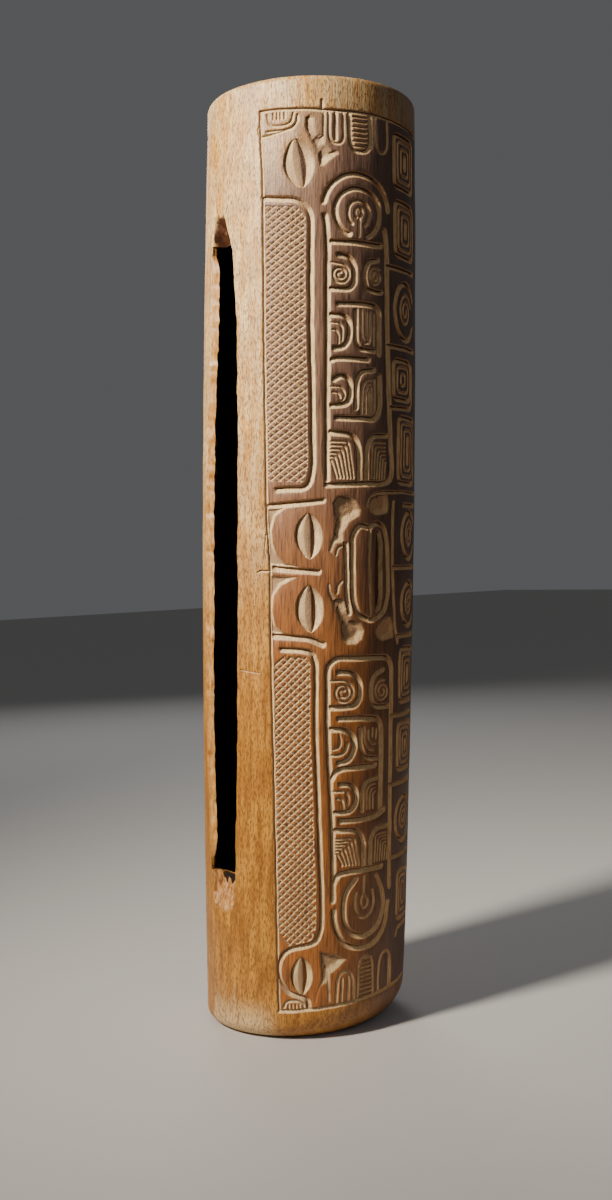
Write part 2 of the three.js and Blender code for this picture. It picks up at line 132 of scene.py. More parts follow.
# A line through points, with its corners rounded.
def bend(points, radius=0, steps=4):
    if radius <= 0 or len(points) < 3:
        return [tuple(p) for p in points]
    out = [tuple(points[0])]
    for before, corner, after in zip(points, points[1:], points[2:]):
        a, b, c = (np.array(p, float) for p in (before, corner, after))
        lengthIn, lengthOut = np.linalg.norm(b - a), np.linalg.norm(c - b)
        reach = min(radius, lengthIn / 2, lengthOut / 2)
        start, end = b + (a - b) * reach / lengthIn, b + (c - b) * reach / lengthOut
        for t in np.linspace(0, 1, steps + 1):
            out.append(tuple((1 - t) ** 2 * start + 2 * t * (1 - t) * b + t * t * end))
    out.append(tuple(points[-1]))
    return out


def ellipse(s, z, radiusS, radiusZ, start, end, steps=18):
    angles = np.radians(np.linspace(start, end, steps + 1))
    return [(s + radiusS * math.cos(a), z + radiusZ * math.sin(a)) for a in angles]


# A coil that winds inwards, clockwise where turns is positive.
def spiral(s, z, outer, inner, start, turns, squash=1):
    steps = int(abs(turns) * 16)
    out = []
    for i in range(steps + 1):
        angle = math.radians(start - 360 * turns * i / steps)
        radius = mix(outer, inner, i / steps)
        out.append((s + radius * math.cos(angle), z + squash * radius * math.sin(angle)))
    return out


# A V cut along a line, steep on its upper left and sloping on its lower right.
def carve(panel, points, chisel, width=1, deep=1):
    tool = chisels[chisel]
    reach = width * (tool["crease"] + max(tool[side] for side in ("above", "below", "left", "right")))
    points = [(s - width * tool["crease"], z) for s, z in points]
    for (s0, z0), (s1, z1) in zip(points, points[1:]):
        window = near(panel, [(s0, z0), (s1, z1)], reach)
        s, z = panel["s"][window], panel["z"][window]
        ds, dz = s1 - s0, z1 - z0
        along = np.clip(((s - s0) * ds + (z - z0) * dz) / max(ds * ds + dz * dz, 1e-9), 0, 1)
        offS, offZ = s - s0 - along * ds, z - z0 - along * dz
        away = np.hypot(offS, offZ) + 1e-6
        across = np.where(offS < 0, tool["left"], tool["right"])
        up = np.where(offZ > 0, tool["above"], tool["below"])
        spread = np.hypot(offS * across, offZ * up) / away * width
        deepen(panel, window, tool["depth"] * deep * (1 - away / spread))


def gouge(panel, points, radius=0, width=1, deep=1):
    carve(panel, bend(points, radius), "gouge", width, deep)


def fine(panel, points, radius=0, width=1, deep=1):
    carve(panel, bend(points, radius), "fine", width, deep)


def edge(panel, points, width=1, deep=1):
    carve(panel, bend(points), "edge", width, deep)


# How far inside an outline each place lies, as a share of the slope's width on the side that is nearest.
def insideBy(s, z, outline, steep, gentle):
    inside = np.zeros(s.shape, bool)
    nearest = np.full(s.shape, 1e9)
    for (s0, z0), (s1, z1) in zip(outline, outline[1:] + outline[:1]):
        ds, dz = s1 - s0, z1 - z0
        along = np.clip(((s - s0) * ds + (z - z0) * dz) / max(ds * ds + dz * dz, 1e-9), 0, 1)
        offS, offZ = s0 + along * ds - s, z0 + along * dz - z
        away = np.hypot(offS, offZ) + 1e-6
        across, up = np.where(offS < 0, steep, gentle), np.where(offZ > 0, steep, gentle)
        nearest = np.minimum(nearest, away * away / np.hypot(offS * across, offZ * up))
        if z0 != z1:
            crosses = ((z0 > z) != (z1 > z)) & (s < (z - z0) / dz * ds + s0)
            inside ^= crosses
    return np.where(inside, nearest, 0)


# A scooped hollow inside an outline: a steep wall on its upper left, rising gently to its lower right.
def hollow(panel, outline, depth=2, steep=1.1, gentle=5):
    window = near(panel, outline, 1)
    s, z = panel["s"][window], panel["z"][window]
    floor = depth * (1 + .1 * ripple(s, z, 2.6, 21))
    deepen(panel, window, floor * np.clip(insideBy(s, z, outline, steep, gentle), 0, 1))


# A leaf-shaped eye: sunk along its left edge, rounded, creased down the middle and rising again.
def eye(panel, s, z, width, tall, tilt):
    window = near(panel, [(s - width, z - tall * .6), (s + width, z + tall * .6)], 0)
    offS, offZ = panel["s"][window] - s, panel["z"][window] - z
    cos, sin = math.cos(math.radians(tilt)), math.sin(math.radians(tilt))
    x, y = offS * cos - offZ * sin, offS * sin + offZ * cos
    rest = np.clip(1 - (2 * y / tall) ** 2, 0, 1)
    across = x / (width / 2 * rest ** .7 + 1e-6)
    depth = np.interp(across, [-1, -.88, -.35, .08, .4, 1], [0, 2.2, .5, 1.0, 2.8, 0])
    deepen(panel, window, depth * rest ** .35)


# Two families of crossing lines inside an outline.
def crosshatch(panel, outline, kind):
    lines = fieldLines[kind]
    window = near(panel, outline, 1)
    s, z = panel["s"][window], panel["z"][window]
    depth = np.zeros(s.shape)
    for k, slope in enumerate(lines["slopes"]):
        count = (z - slope * s + .35 * ripple(s, z, 13, 31 + k)) / lines["rise"]
        away = np.abs(count - np.round(count)) * lines["rise"] * math.cos(math.atan(slope))
        pressed = 1 + .18 * ripple(s, z, 9, 33 + k)
        depth = np.maximum(depth, lines["depth"] * pressed * (1 - away / lines["spread"]))
    deepen(panel, window, depth * np.clip(insideBy(s, z, outline, .6, .6), 0, 1))


def frameOf(left, right, bottom, top):
    middle = (left + right) / 2
    return [(middle, top), (right, top), (right, bottom), (left, bottom), (left, top), (middle, top)]


# Square frames one inside the next.
def squares(panel, left, right, bottom, top, levels, gap=4.4):
    gap = min(gap, ((right - left) / 2 - 1.2) / (levels - 1))
    for k in range(levels):
        g = gap * k
        outline = frameOf(left + g, right - g, bottom + g, top - g)
        if k == 0:
            gouge(panel, outline, 5, .85)
        else:
            fine(panel, outline, max(5 - 1.2 * k, 1.5), 1.35)


# A ring open at the right, round a coil of two turns.
def coil(panel, s, z, radiusS, radiusZ):
    gouge(panel, ellipse(s, z, radiusS, radiusZ, 30, 330, 22), 0, .9)
    start = [(s + radiusS * .62, z + radiusZ * .2)]
    fine(panel, start + spiral(s, z, radiusS * .62, radiusS * .1, 30, -2, radiusZ / radiusS), 0, 1.4)


# Two quarter arches back to back, each with a fan of fine lines nested under it.
def archPair(panel, s0, s1, s2, s3, top, bottom):
    gouge(panel, [(s0, top), (s1 - 5, top - .6), (s1, top - 9), (s1, bottom)], 10)
    gouge(panel, [(s3, top - .6), (s2 + 5, top - .8), (s2, top - 8), (s2, bottom)], 10, .85)
    for k in range(6):
        z = top - 6 - k * (top - bottom) * .083
        back = (s1 - s0) * .115 * k
        fine(panel, [(s0 + .8, z), (s1 - 7 - back, z), (s1 - 3.6 - back, bottom + .5)], 2.5)
        fine(panel, [(s3 - .8, z + .2), (s2 + 5 + back, z + .2), (s2 + 4 + back, bottom + .5)], 2.5, .85)


def carveBorders(panel):
    edge(panel, [(-34.3, 579.3), (-10, 579.2), (12, 578.6), (35, 579.2), (70, 579), (101, 579)])
    edge(panel, [
        (-34.3, 579.3), (-34, 568), (-32.3, 545), (-31.3, 525), (-30.6, 500), (-29.8, 450), (-28.7, 400),
        (-27.4, 345), (-26.3, 318), (-24.6, 300), (-24, 250), (-22.6, 200), (-21.2, 150), (-20.3, 110),
        (-19.3, 60), (-18.6, 30), (-18, 19),
    ], .75, .95)
    edge(panel, [(-18, 19.3), (0, 21), (40, 25), (75, 28.4), (103, 30.5)])
    fine(panel, [(101, 579), (100.4, 500), (101, 400), (101.6, 300), (102.4, 180), (103, 80), (103, 30.5)])
    # splits and slips of the chisel along the left border
    carve(panel, [(-33, 294.6), (-30.6, 295.6), (-28.6, 295.2), (-24.4, 295.4)], "crack", 1.5, 1.4)
    carve(panel, [(-46, 233), (-38, 232.2), (-31, 231.4)], "crack", 1.1, .4)
    carve(panel, [(-27.3, 318), (-28.2, 308), (-27.2, 303)], "crack")
    carve(panel, [(-27, 334), (-24.4, 333.4), (-22.6, 335.6), (-20, 334.8), (-17.6, 336.6)], "crack", 1.4)
    carve(panel, [(-34, 571), (-35.6, 568.4), (-35.2, 565.4), (-33.6, 563)], "crack")


def carveTopFace(panel):
    fine(panel, [(-28.4, 577), (-28, 571.5), (-24, 569.2), (-16, 569.2), (-12.3, 571), (-11, 577)], 3, 1.3)
    for s in (-24.3, -21.8, -19.5, -17):
        fine(panel, [(s, 577.5), (s + .2, 573.4)])
    gouge(panel, [(-28.5, 566.5), (-18, 566.2), (-12, 567.5), (-9, 570.5), (-8.6, 575)], 3, .6, .6)
    gouge(panel, [(-33, 563.2), (-26, 564.2), (-20, 565.3), (-12, 567.5)], 2, .7, .6)
    eye(panel, -7.6, 545.5, 20.5, 31, -9)
    hollow(panel, [
        (-3.6, 573.5), (-4, 567), (-.5, 558), (4, 551), (5.4, 543), (8, 543.4), (12, 547), (18.2, 551.6),
        (17.6, 554), (13.5, 554), (9.8, 557.5), (9.9, 577.5), (6.9, 577.5), (6.8, 563), (4.6, 563.4),
        (2.6, 568), (2.2, 573.5), (-.4, 575.5),
    ])
    gouge(panel, [(6.6, 584.5), (6.6, 578)], 0, .6, .6)
    fine(panel, [(11.2, 577.5), (11.4, 562), (14, 558.2), (19, 558.2), (20.9, 562), (20.5, 577.5)], 4, 1.3)
    gouge(panel, [(15.2, 577.5), (15.4, 561)], 0, .75, .7)
    fine(panel, [(24.6, 577.5), (25.2, 560), (28.5, 555.2), (36.5, 555.2), (40, 560), (39.4, 577.5)], 5, 2, 1.4)
    for k in range(7):
        gouge(panel, [(27, 575.9 - 3 * k), (36.4, 576.3 - 3 * k)], 0, .42, .6)
    fine(panel, [(43.2, 577.5), (43.6, 561.5), (46.6, 556.6), (51.5, 556.6), (54.6, 561.5), (54, 577.5)], 4, 1.3)


def carveFields(panel):
    gouge(panel, [
        (-30.5, 526), (-20, 525), (-7, 524), (-.2, 516), (.1, 450), (1.5, 400), (2.3, 357), (-1, 346.8),
        (-12, 346.8), (-20, 346.3),
    ], 8)
    gouge(panel, [(-25.8, 336.3), (-19, 336.8), (-8, 337.8), (8.5, 339.6)], 3)
    crosshatch(panel, [
        (-29.6, 521), (-8, 519.5), (-3.2, 513), (-2.6, 450), (-1.2, 400), (-.6, 358), (-4, 350.2),
        (-24, 350.5), (-27, 352), (-28.2, 400), (-29.2, 450),
    ], "upper")
    # the lower frame runs on round the last eye
    gouge(panel, [
        (-16.6, 247.4), (-6, 247.2), (2.6, 246), (5, 238), (4.8, 200), (7, 150), (9.6, 100), (10.4, 72),
        (7, 64), (-1, 61.8), (-12, 59.4), (-18.4, 51), (-18.4, 40), (-12, 31.8), (-4, 29.6), (1.4, 27.4),
        (2, 22.6),
    ], 8, .9)
    crosshatch(panel, [
        (-21.6, 238.5), (-15, 242.8), (-1, 243), (1.8, 238), (2, 200), (4.2, 150), (6.4, 100), (6.8, 72),
        (4, 65), (-11.5, 60.6), (-18.4, 70), (-19.4, 100), (-20.4, 150), (-21.2, 200),
    ], "lower")


def carveUpperColumn(panel):
    gouge(panel, [(8.4, 514.5), (9.6, 507), (10.4, 497), (10.6, 400), (10.9, 352)], 3)
    gouge(panel, [
        (51.4, 509.5), (53, 500), (54, 450), (55.3, 415), (57.4, 380), (59.6, 362), (58.5, 353.5),
        (50, 351.4), (30, 350.6), (11, 349.4),
    ], 5)
    # coiled head at the top of the column
    gouge(panel, ellipse(31, 519, 23.5, 22.6, 170, 8))
    gouge(panel, ellipse(31, 517.6, 16, 15, 246, -66, 26), 0, .95)
    gouge(panel, ellipse(31, 517, 7.6, 8.3, 235, -55, 16), 0, .62, .7)
    fine(panel, ellipse(31, 517.5, 2.6, 3.2, 250, -70, 12) + [(31.2, 502.5)], 0, 1.2)
    # pair of coils
    gouge(panel, [(13, 498.8), (30, 499.2), (48, 499.2)])
    gouge(panel, [(18, 491), (25, 490), (28.3, 484), (28.3, 474), (25, 470.4), (12.8, 470.1)], 5)
    fine(panel, [(12.8, 485.6)] + spiral(19, 478.6, 6.6, 1.2, 100, 2.05), 0, 1.15)
    gouge(panel, [(45.5, 490), (38, 488.6), (34.6, 480), (37, 471.3), (43, 470.2), (48.5, 470.2)], 6, .85)
    fine(panel, spiral(44.2, 479, 5.8, 1, 60, -1.9), 0, 1.1)
    gouge(panel, [(17.8, 461.2), (30, 461.8), (43, 461.8), (46.4, 458), (46.6, 432)], 4)
    # two rows of nested hooks
    gouge(panel, [(12.8, 454.3), (21, 454.3), (25, 450), (25.2, 441), (22, 434.4), (15.5, 433.6)], 5)
    fine(panel, [(12.8, 448.6), (18.6, 448.6), (20.6, 446), (20.4, 438)], 3)
    fine(panel, [(14, 444.6), (16.6, 444.4), (18.2, 441), (18, 436)], 2)
    gouge(panel, [(29.4, 457.5), (29.3, 438), (32, 433.8), (44, 433.6)], 5, .8)
    fine(panel, [(33.2, 457.5), (33.6, 440.5), (36, 437.4), (39.2, 437.6), (39.8, 457)], 4, 1.1)
    fine(panel, [(36.4, 457), (37, 441.5), (38, 440)], 1)
    fine(panel, [(42.8, 455.5), (42.8, 436.5)], 0, 1.2)
    gouge(panel, [(13.5, 426.4), (16, 427.6), (38, 428)], 2)
    gouge(panel, [(15.5, 414.8), (20, 417.4), (25, 414.5), (26.3, 406), (24, 399.3), (14, 398.4)], 5)
    fine(panel, [(13, 409.4), (19.5, 410), (22.8, 405.5), (21, 400.8), (18.6, 400.4)], 4)
    fine(panel, [(14.5, 406), (18.2, 406), (19.4, 402.5)], 2)
    gouge(panel, [(29.6, 397.5), (29.8, 414), (33.5, 420.5), (42.5, 421.8)], 6, .85)
    for k in range(3):
        fine(panel, [
            (33.6 + 2.6 * k, 393.6), (33.8 + 2.5 * k, 409.6 - 1.4 * k), (36.6 + 2 * k, 414.5 - 2.4 * k),
            (41 - .3 * k, 414.8 - 2.6 * k),
        ], 3, 1.05)
    fine(panel, [(41.2, 410), (41.2, 394)])
    fine(panel, [(43.6, 415), (43.4, 393.6)], 0, 1.1)
    gouge(panel, [(47.2, 418), (48.2, 399), (44.5, 391.4), (17.4, 391)], 7)
    archPair(panel, 12.8, 32, 37.3, 53.6, 382, 353)


def carveMiddleFace(panel):
    eye(panel, .4, 317.3, 18, 28.5, -3)
    eye(panel, 1.2, 272.3, 18.5, 29.5, -3)
    gouge(panel, [(-21.5, 298), (-12, 297), (6, 295.8)], 2)
    gouge(panel, [(-21.8, 256), (-12, 255.2), (1, 254.4), (9.5, 250.6)], 5)
    # ground sloping down from the round of each cheek to the border and the bars
    hollow(panel, [
        (-27.2, 334.6), (-13, 335), (-20.2, 329.4), (-22.8, 320.2), (-22.4, 313), (-19.5, 305.7), (-14.5, 300.9),
        (-7, 299), (-2, 297.6), (-21.5, 297.6), (-25.6, 299),
    ], 1.5, 1.6, 2.4)
    hollow(panel, [
        (-25, 293.4), (-6, 292.2), (-17, 286.4), (-21.2, 279.6), (-22.2, 271), (-20.2, 262.2), (-15, 257.4),
        (-8, 256), (-3, 255), (-21.8, 255.6), (-24.2, 257),
    ], 1.5, 1.6, 2.4)
    hollow(panel, [
        (12, 308), (15, 316.5), (16.3, 326), (14.6, 338), (18, 342.2), (25, 342.8), (31, 340), (34.3, 334),
        (33, 329.5), (26, 325.5), (22.8, 319.5), (22.6, 312.6), (17.4, 312.2), (14.4, 306),
    ])
    hollow(panel, [
        (11.8, 288), (12.8, 280), (17, 271), (20.4, 262), (21.4, 253), (25, 249.2), (31.5, 249.4),
        (36.4, 253), (38, 258.6), (35.4, 263.8), (29.6, 266.4), (26.4, 270), (24.8, 278.4), (18, 279),
        (15, 283), (14.2, 288.4),
    ])
    gouge(panel, [(23.3, 313), (24, 296), (24.6, 279), (26.5, 270)], 3, .85)
    fine(panel, [(17.3, 306), (18.2, 310), (20.8, 311.2)], 2)
    fine(panel, [(18.4, 282.6), (19, 287), (21.2, 289.4)], 2, 1.3)
    # the mouth, with its deep throat
    gouge(panel, [(38.4, 324), (33, 325.4), (28, 319), (28, 300), (28.8, 277), (33, 268.6), (40.5, 266.2)], 7)
    gouge(panel, [
        (40.4, 324), (46, 327), (52.4, 324), (55.6, 312), (57, 282), (54, 270.6), (47, 267), (42.2, 265.6),
    ], 8, .85)
    gouge(panel, [(40.4, 323), (40.4, 300), (42, 268.5)], 4, .45, .8)
    hollow(panel, [(45.6, 322), (49.5, 321), (51.4, 314), (51.8, 280), (50, 271), (45.8, 269), (44.6, 290)], 3.6, 1.2, 1.6)
    gouge(panel, [(38.6, 337), (41, 343.6), (50, 345.8), (70, 346.6), (101, 346.6)], 4, .6, .8)
    hollow(panel, [
        (38.8, 337), (41, 342.2), (46, 344), (56, 344.4), (57.6, 338), (56.4, 331.4), (50, 330.2),
        (44, 330), (40.4, 332),
    ], 1.5)
    hollow(panel, [
        (45.2, 258), (47.4, 263), (53.4, 266), (60, 267), (63.6, 262), (64.6, 252.6), (52, 250.6),
        (47.2, 253),
    ], 1.5)
    gouge(panel, [(61.4, 340), (60.4, 325), (60.8, 300), (62.4, 280), (64.4, 262), (68, 250.6)], 5, .7)


def carveLowerColumn(panel):
    gouge(panel, [
        (64, 94), (62.6, 150), (62, 200), (61.4, 236), (57, 242), (18, 242.4), (12, 237), (12.4, 200),
        (14.2, 170), (16.2, 140), (17.4, 110), (17.4, 90),
    ], 6)
    # pair of coils
    gouge(panel, [(20, 233.4), (29, 233.2), (34.4, 227), (34.8, 216), (30.5, 211.6), (15, 211.6)], 6)
    fine(panel, [(15, 227.7)] + spiral(23, 220.2, 7.6, 1.4, 95, 2.1), 0, 1.15)
    gouge(panel, [(53, 233.8), (45, 230.6), (41.8, 221), (44.6, 212), (50, 210.6), (58.6, 210.4)], 6, .85)
    fine(panel, spiral(52.6, 220, 7, 1.2, 75, -2), 0, 1.1)
    gouge(panel, [(20.4, 204.6), (36, 204.4), (48.4, 203.6), (51.8, 199), (52.8, 180), (52.4, 146)], 5)
    # two rows of nested hooks
    gouge(panel, [(15, 198), (25, 197.6), (31, 191), (31, 184), (27.5, 178), (20.6, 176.8)], 6)
    fine(panel, [(20.6, 194), (22.4, 189.6), (20.6, 185.4), (17, 184.8)], 3, 1.1)
    gouge(panel, [(26.2, 188.6), (25.2, 183.4), (21, 181.4), (15.4, 181.2)], 4, .6, .7)
    gouge(panel, [(34.9, 197.4), (34.9, 187), (38.4, 179.6), (44, 178.4), (51, 178.2)], 6, .75)
    fine(panel, [(38.2, 198), (38.3, 189), (41, 184), (46, 183)], 4)
    fine(panel, [(41.6, 196), (41.8, 190), (44.4, 186.6), (47.4, 186.8)], 3)
    fine(panel, [(45, 197), (45, 191.5)])
    fine(panel, [(48.2, 196), (48.2, 190)])
    gouge(panel, [(16, 166.6), (18.6, 171.6), (25, 173.4), (47, 174)], 5)
    gouge(panel, [(22, 163.2), (29, 163), (33, 157), (33, 151), (29, 145.4), (18.6, 145.4)], 6, .9)
    fine(panel, [(17, 158.4), (24, 158.4)], 0, 1.4)
    fine(panel, [(25.6, 158), (27.8, 154), (27, 150)], 2, 1.2)
    fine(panel, [(19.8, 154), (23, 153.4), (24, 150.4), (24, 146.6)], 2, 1.1)
    gouge(panel, [(37, 145.6), (37, 158), (41, 164.6), (52, 166)], 6, .75)
    for k in range(3):
        fine(panel, [
            (41 + 2.6 * k, 146), (41 + 2.6 * k, 157.6 - 1.2 * k), (44 + 2 * k, 161.4 - 2.4 * k),
            (47.6, 161.6 - 2.6 * k),
        ], 3, .95)
    gouge(panel, [(22.4, 140.2), (38, 140.6), (49, 141.2), (56, 144.6)], 4)
    archPair(panel, 18.8, 39, 44.6, 60.4, 134.6, 111)
    # coiled head at the foot of the column
    gouge(panel, [(18.2, 101), (21, 106.4), (30, 108), (55, 108.4)], 5)
    gouge(panel, [(17.9, 83.5), (18.8, 74), (24, 63), (34, 58.4), (46, 58.4), (56, 63), (61.4, 72), (62.6, 84)], 8)
    gouge(panel, [
        (33.6, 103), (26.6, 95), (24.2, 84), (26.6, 72), (34, 66.2), (44, 65.8), (53, 70), (58, 79),
        (57.4, 90), (50.4, 102.4),
    ], 8, .95)
    gouge(panel, [(34.2, 93.4), (32.4, 86), (35, 79), (40.6, 77), (46.6, 79), (49.2, 86), (47, 94)], 5, .6, .7)
    fine(panel, [(40.4, 103.4), (40, 92.4), (37.8, 87), (39, 83.2), (42.6, 83.2), (44, 87), (40.6, 92)], 2.4, 1.2)


def carveBottomFace(panel):
    eye(panel, -2.4, 42.3, 15.5, 24.5, -2)
    fine(panel, [(-14.4, 21.2), (-13, 25), (-9, 26.4), (-4.4, 26.2), (-1.2, 24.6), (-.8, 22)], 2.5, 1.4)
    for s in (-11, -8.6, -6.2, -3.8):
        fine(panel, [(s, 24), (s + .1, 21)], 0, .9)
    hollow(panel, [
        (8.8, 58), (20, 55.8), (29.3, 51.5), (23, 46.5), (17.4, 42.5), (18.2, 24.4), (15, 24.2), (14.4, 37),
        (10.6, 35), (8.2, 30), (7.2, 24.2), (5.6, 24), (7, 31), (10.2, 38), (10.6, 46),
    ], 1.6)
    fine(panel, [(21.2, 24.6), (21.6, 39), (24.6, 44.4), (30, 44.4), (33, 39), (33.6, 25.6)], 5, 1.3)
    gouge(panel, [(24.6, 25), (24.8, 40)], 0, .5, .6)
    gouge(panel, [(29.2, 25.4), (29.2, 41)], 0, .6, .6)
    fine(panel, [(37, 27), (37.4, 47), (40, 51.6), (46, 51.6), (49.4, 47), (50, 28)], 4, 1.2)
    for k in range(9):
        gouge(panel, [(38.6, 28.2 + 2.7 * k), (48.4, 28.9 + 2.7 * k)], 0, .38, .55)
    fine(panel, [(55, 27.5), (55.4, 46), (59, 51.8), (65, 51.8), (68.8, 46), (69, 28.5)], 6, 1.3)
    fine(panel, [(66.4, 47), (66.4, 29)], 0, 1.1)


# Squares and coils in turn up the far edge, with short bars between them.
def carveSideColumn(panel):
    squares(panel, 61, 88, 539, 572, 4)
    squares(panel, 61.8, 88.6, 496, 530, 4)
    coil(panel, 75.6, 461.8, 14, 18)
    squares(panel, 60.4, 83.4, 405.5, 430, 3)
    gouge(panel, [(86.6, 428), (86.6, 404), (83, 400.4), (58.8, 399.6)], 4, .8)
    squares(panel, 66.4, 93, 352.6, 394.4, 4, 4.8)
    coil(panel, 84.6, 319.6, 12.6, 15)
    coil(panel, 85.4, 275, 13, 14)
    squares(panel, 71.6, 98, 212, 246, 4)
    squares(panel, 70.6, 96.4, 168, 198, 4, 4.2)
    coil(panel, 83.8, 135.4, 14, 14.6)
    squares(panel, 75, 98.6, 70, 101, 3, 4.2)
    gouge(panel, [(75, 59.6), (78, 64.4), (96, 65)], 4, .8)
    bars = [
        (54.6, 487.6, 90, .9), (55.4, 438.2, 92, .9), (74, 338.6, 98, .8), (63, 298.4, 98, .8),
        (69, 254.6, 98, .8), (63.4, 203.6, 96, .8), (63.4, 159.4, 94, .8), (67, 112, 98, .8),
    ]
    for left, z, right, width in bars:
        gouge(panel, [(left, z), (right, z + .5)], 0, width)


# The plainer panel of the other flank: borders, two framed fields and a ladder of bars.
def carvePlainPanel(panel):
    edge(panel, [(-34.3, 579.3), (62, 579)])
    edge(panel, [(-34.3, 579.3), (-24.3, 297), (-18, 19.3)])
    edge(panel, [(-18, 19.3), (64, 27)])
    gouge(panel, [(-30.5, 526), (-4, 524), (.1, 516), (2.3, 352), (-20, 346.3)], 6)
    gouge(panel, [(-16.6, 247.4), (4.8, 244), (4.8, 200), (10.4, 66), (-12, 60)], 6)
    crosshatch(panel, [(-29.6, 521), (-6, 519), (-3.4, 512), (-1, 356), (-25, 351), (-28.2, 400)], "upper")
    crosshatch(panel, [(-21.6, 242), (1.4, 240), (1.4, 200), (6.4, 70), (-11.5, 65), (-18.4, 70)], "lower")
    for i, z in enumerate((498.8, 428, 350.6, 242.2, 173.6, 108)):
        left = 16 if i % 2 else 12
        gouge(panel, [(left, z), (left + 38, z + .4)])
        fine(panel, [(left + 2, z - 6), (left + 36, z - 5.6)])
        fine(panel, [(left + 2, z - 10), (left + 36, z - 9.6)])


print("carving the panels")
mainPanel = newPanel(-47, 107, 12, 590)
for job in (
    carveBorders, carveTopFace, carveFields, carveUpperColumn, carveMiddleFace, carveLowerColumn,
    carveBottomFace, carveSideColumn,
):
    job(mainPanel)
plainPanel = newPanel(-38, 68, 12, 590)
carvePlainPanel(plainPanel)


def sampled(panel, name, s, z):
    table = panel[name]
    rows, columns = table.shape
    u, v = (s - panel["left"]) / panel["cell"], (z - panel["bottom"]) / panel["cell"]
    held = (u > 0) & (u < columns - 1) & (v > 0) & (v < rows - 1)
    u, v = np.clip(u, 0, columns - 1.001), np.clip(v, 0, rows - 1.001)
    i, j = u.astype(int), v.astype(int)
    low = mix(table[j, i], table[j, i + 1], u - i)
    return np.where(held, mix(low, mix(table[j + 1, i], table[j + 1, i + 1], u - i), v - j), 0)


slit = {
    "outline": [   # height, left edge, right edge, seen square on
        (75, -9, 11), (84, -13, 14), (110, -15, 15), (150, -19, 16.5), (200, -21.5, 17.8),
        (335, -21.5, 17.8), (400, -18, 17.2), (450, -14, 15.6), (497, -12.4, 11.2), (519, -11, 3), (522, -9, 0),
    ],
    "bottom": 75, "throughBottom": 100, "throughTop": 503, "top": 522,
    "slopeBottom": 33, "slopeTop": 25, "slopeDepth": 11,   # how the chopped ends run in
    "ragged": .8,
    "bevel": 5.4, "bevelShare": .3,   # the left lip is hewn to a slope over this share of its thickness
}
chamber = {"bottom": 62, "top": 536, "radius": 57, "end": 34, "towardsSlit": 4, "roughness": 1.1}
spans = {   # steps of the skin before it is thinned, in millimetres, and the number of steps across the slit
    "slit": 40, "panel": .45, "back": 2.8, "plainPanel": .9, "row": .45, "chamber": 44,
}
thinning = {"triangles": 196000, "mainRelief": 2.6, "plainRelief": 1.4}   # relief is exaggerated while thinning


def slitEdges(z):
    z = np.asarray(z, float)
    heights, left, right = np.array(slit["outline"]).T
    rough = slit["ragged"] * smoothStep(70, 90, z) * smoothStep(526, 505, z)
    leftEdge = np.interp(z, heights, left) + rough * (ripple(z, 0, 9, 41) + .6 * ripple(z, 0, 3.5, 42))
    rightEdge = np.interp(z, heights, right) + rough * .7 * (ripple(z, 5, 11, 43) + .5 * ripple(z, 5, 4, 44))
    return leftEdge, rightEdge


def arcOf(x):
    return log["arcRadius"] * np.arcsin(np.clip(x / log["arcRadius"], -1, 1))


def rimRadius(z, facing):
    foot = mix(*log["footRound"], (1 + facing) / 2)
    into = np.clip(foot - z, 0, foot)
    radius = logRadius(z) - foot + np.sqrt(np.maximum(foot * foot - into * into, 0))
    head = log["headRound"]
    above = np.clip(z - (log["height"] - head), 0, head)
    return radius - head + np.sqrt(np.maximum(head * head - above * above, 0))


def rimShear(z, facing, radius):
    foot = math.tan(leanAngle) * (1 - smoothStep(25, 80, z))
    head = log["headSlope"] * smoothStep(540, 588, z)
    return facing * radius * (foot + head)


def facingOf(arc):
    return np.cos(arc / log["arcRadius"] - math.radians(log["leanAround"]))


# How deep the surface lies under the bare log at each place, from carving and from wear.
def surfaceDepth(arc, z, mainRelief=1, plainRelief=1):
    arc = (arc + turn / 2) % turn - turn / 2
    zero = log["panelZero"]
    carved = mainRelief * sampled(mainPanel, "depth", arc - zero, z)
    carved = carved + plainRelief * sampled(plainPanel, "depth", -arc - zero, z)
    seam = smoothStep(0, 25, turn / 2 - np.abs(arc))
    uneven = .16 * ripple(arc, z, 24, 51) + .1 * ripple(arc, z * .4, 9, 52)
    facets = .25 * np.clip(ripple(arc, z * .5, 16, 53), 0, 1) * smoothStep(165, 185, np.abs(arc))
    return carved, log["skin"] + seam * (.26 + uneven + facets)


def rowHeights():
    low = [0, .04, .15, .35, .65, 1.05, 1.6, 2.3, 3.2, 4.2, 5.4]
    high = [596, 597, 598, 598.8, 599.4, 599.8, 599.95, 600]
    middle = np.arange(6.6, 595.6, spans["row"] * fineness)
    return np.array(low + list(middle) + high)


def columnArcs(z):
    left, right = slitEdges(z)
    zero = log["panelZero"]
    knots = [arcOf(left), arcOf(right), zero - 45, zero + 106, turn - zero - 67, turn - zero + 37, arcOf(left) + turn]
    steps = [
        spans["slit"], 6, int(151 / spans["panel"]), int((turn - 2 * zero - 173) / spans["back"]),
        int(104 / spans["plainPanel"]), 14,
    ]
    steps = [max(int(n / fineness), 6) for n in steps]
    parts = []
    for a, b, n in zip(knots, knots[1:], steps):
        fraction = np.linspace(0, 1, n, endpoint=False)
        a, b = np.broadcast_to(a, z.shape), np.broadcast_to(b, z.shape)
        parts.append(a[:, None] + (b - a)[:, None] * fraction)
    return np.concatenate(parts, 1), steps[0]


def placed(arc, radius, z):
    angle = arc / log["arcRadius"]
    return np.stack([radius * np.sin(angle), -radius * np.cos(angle), z], -1)


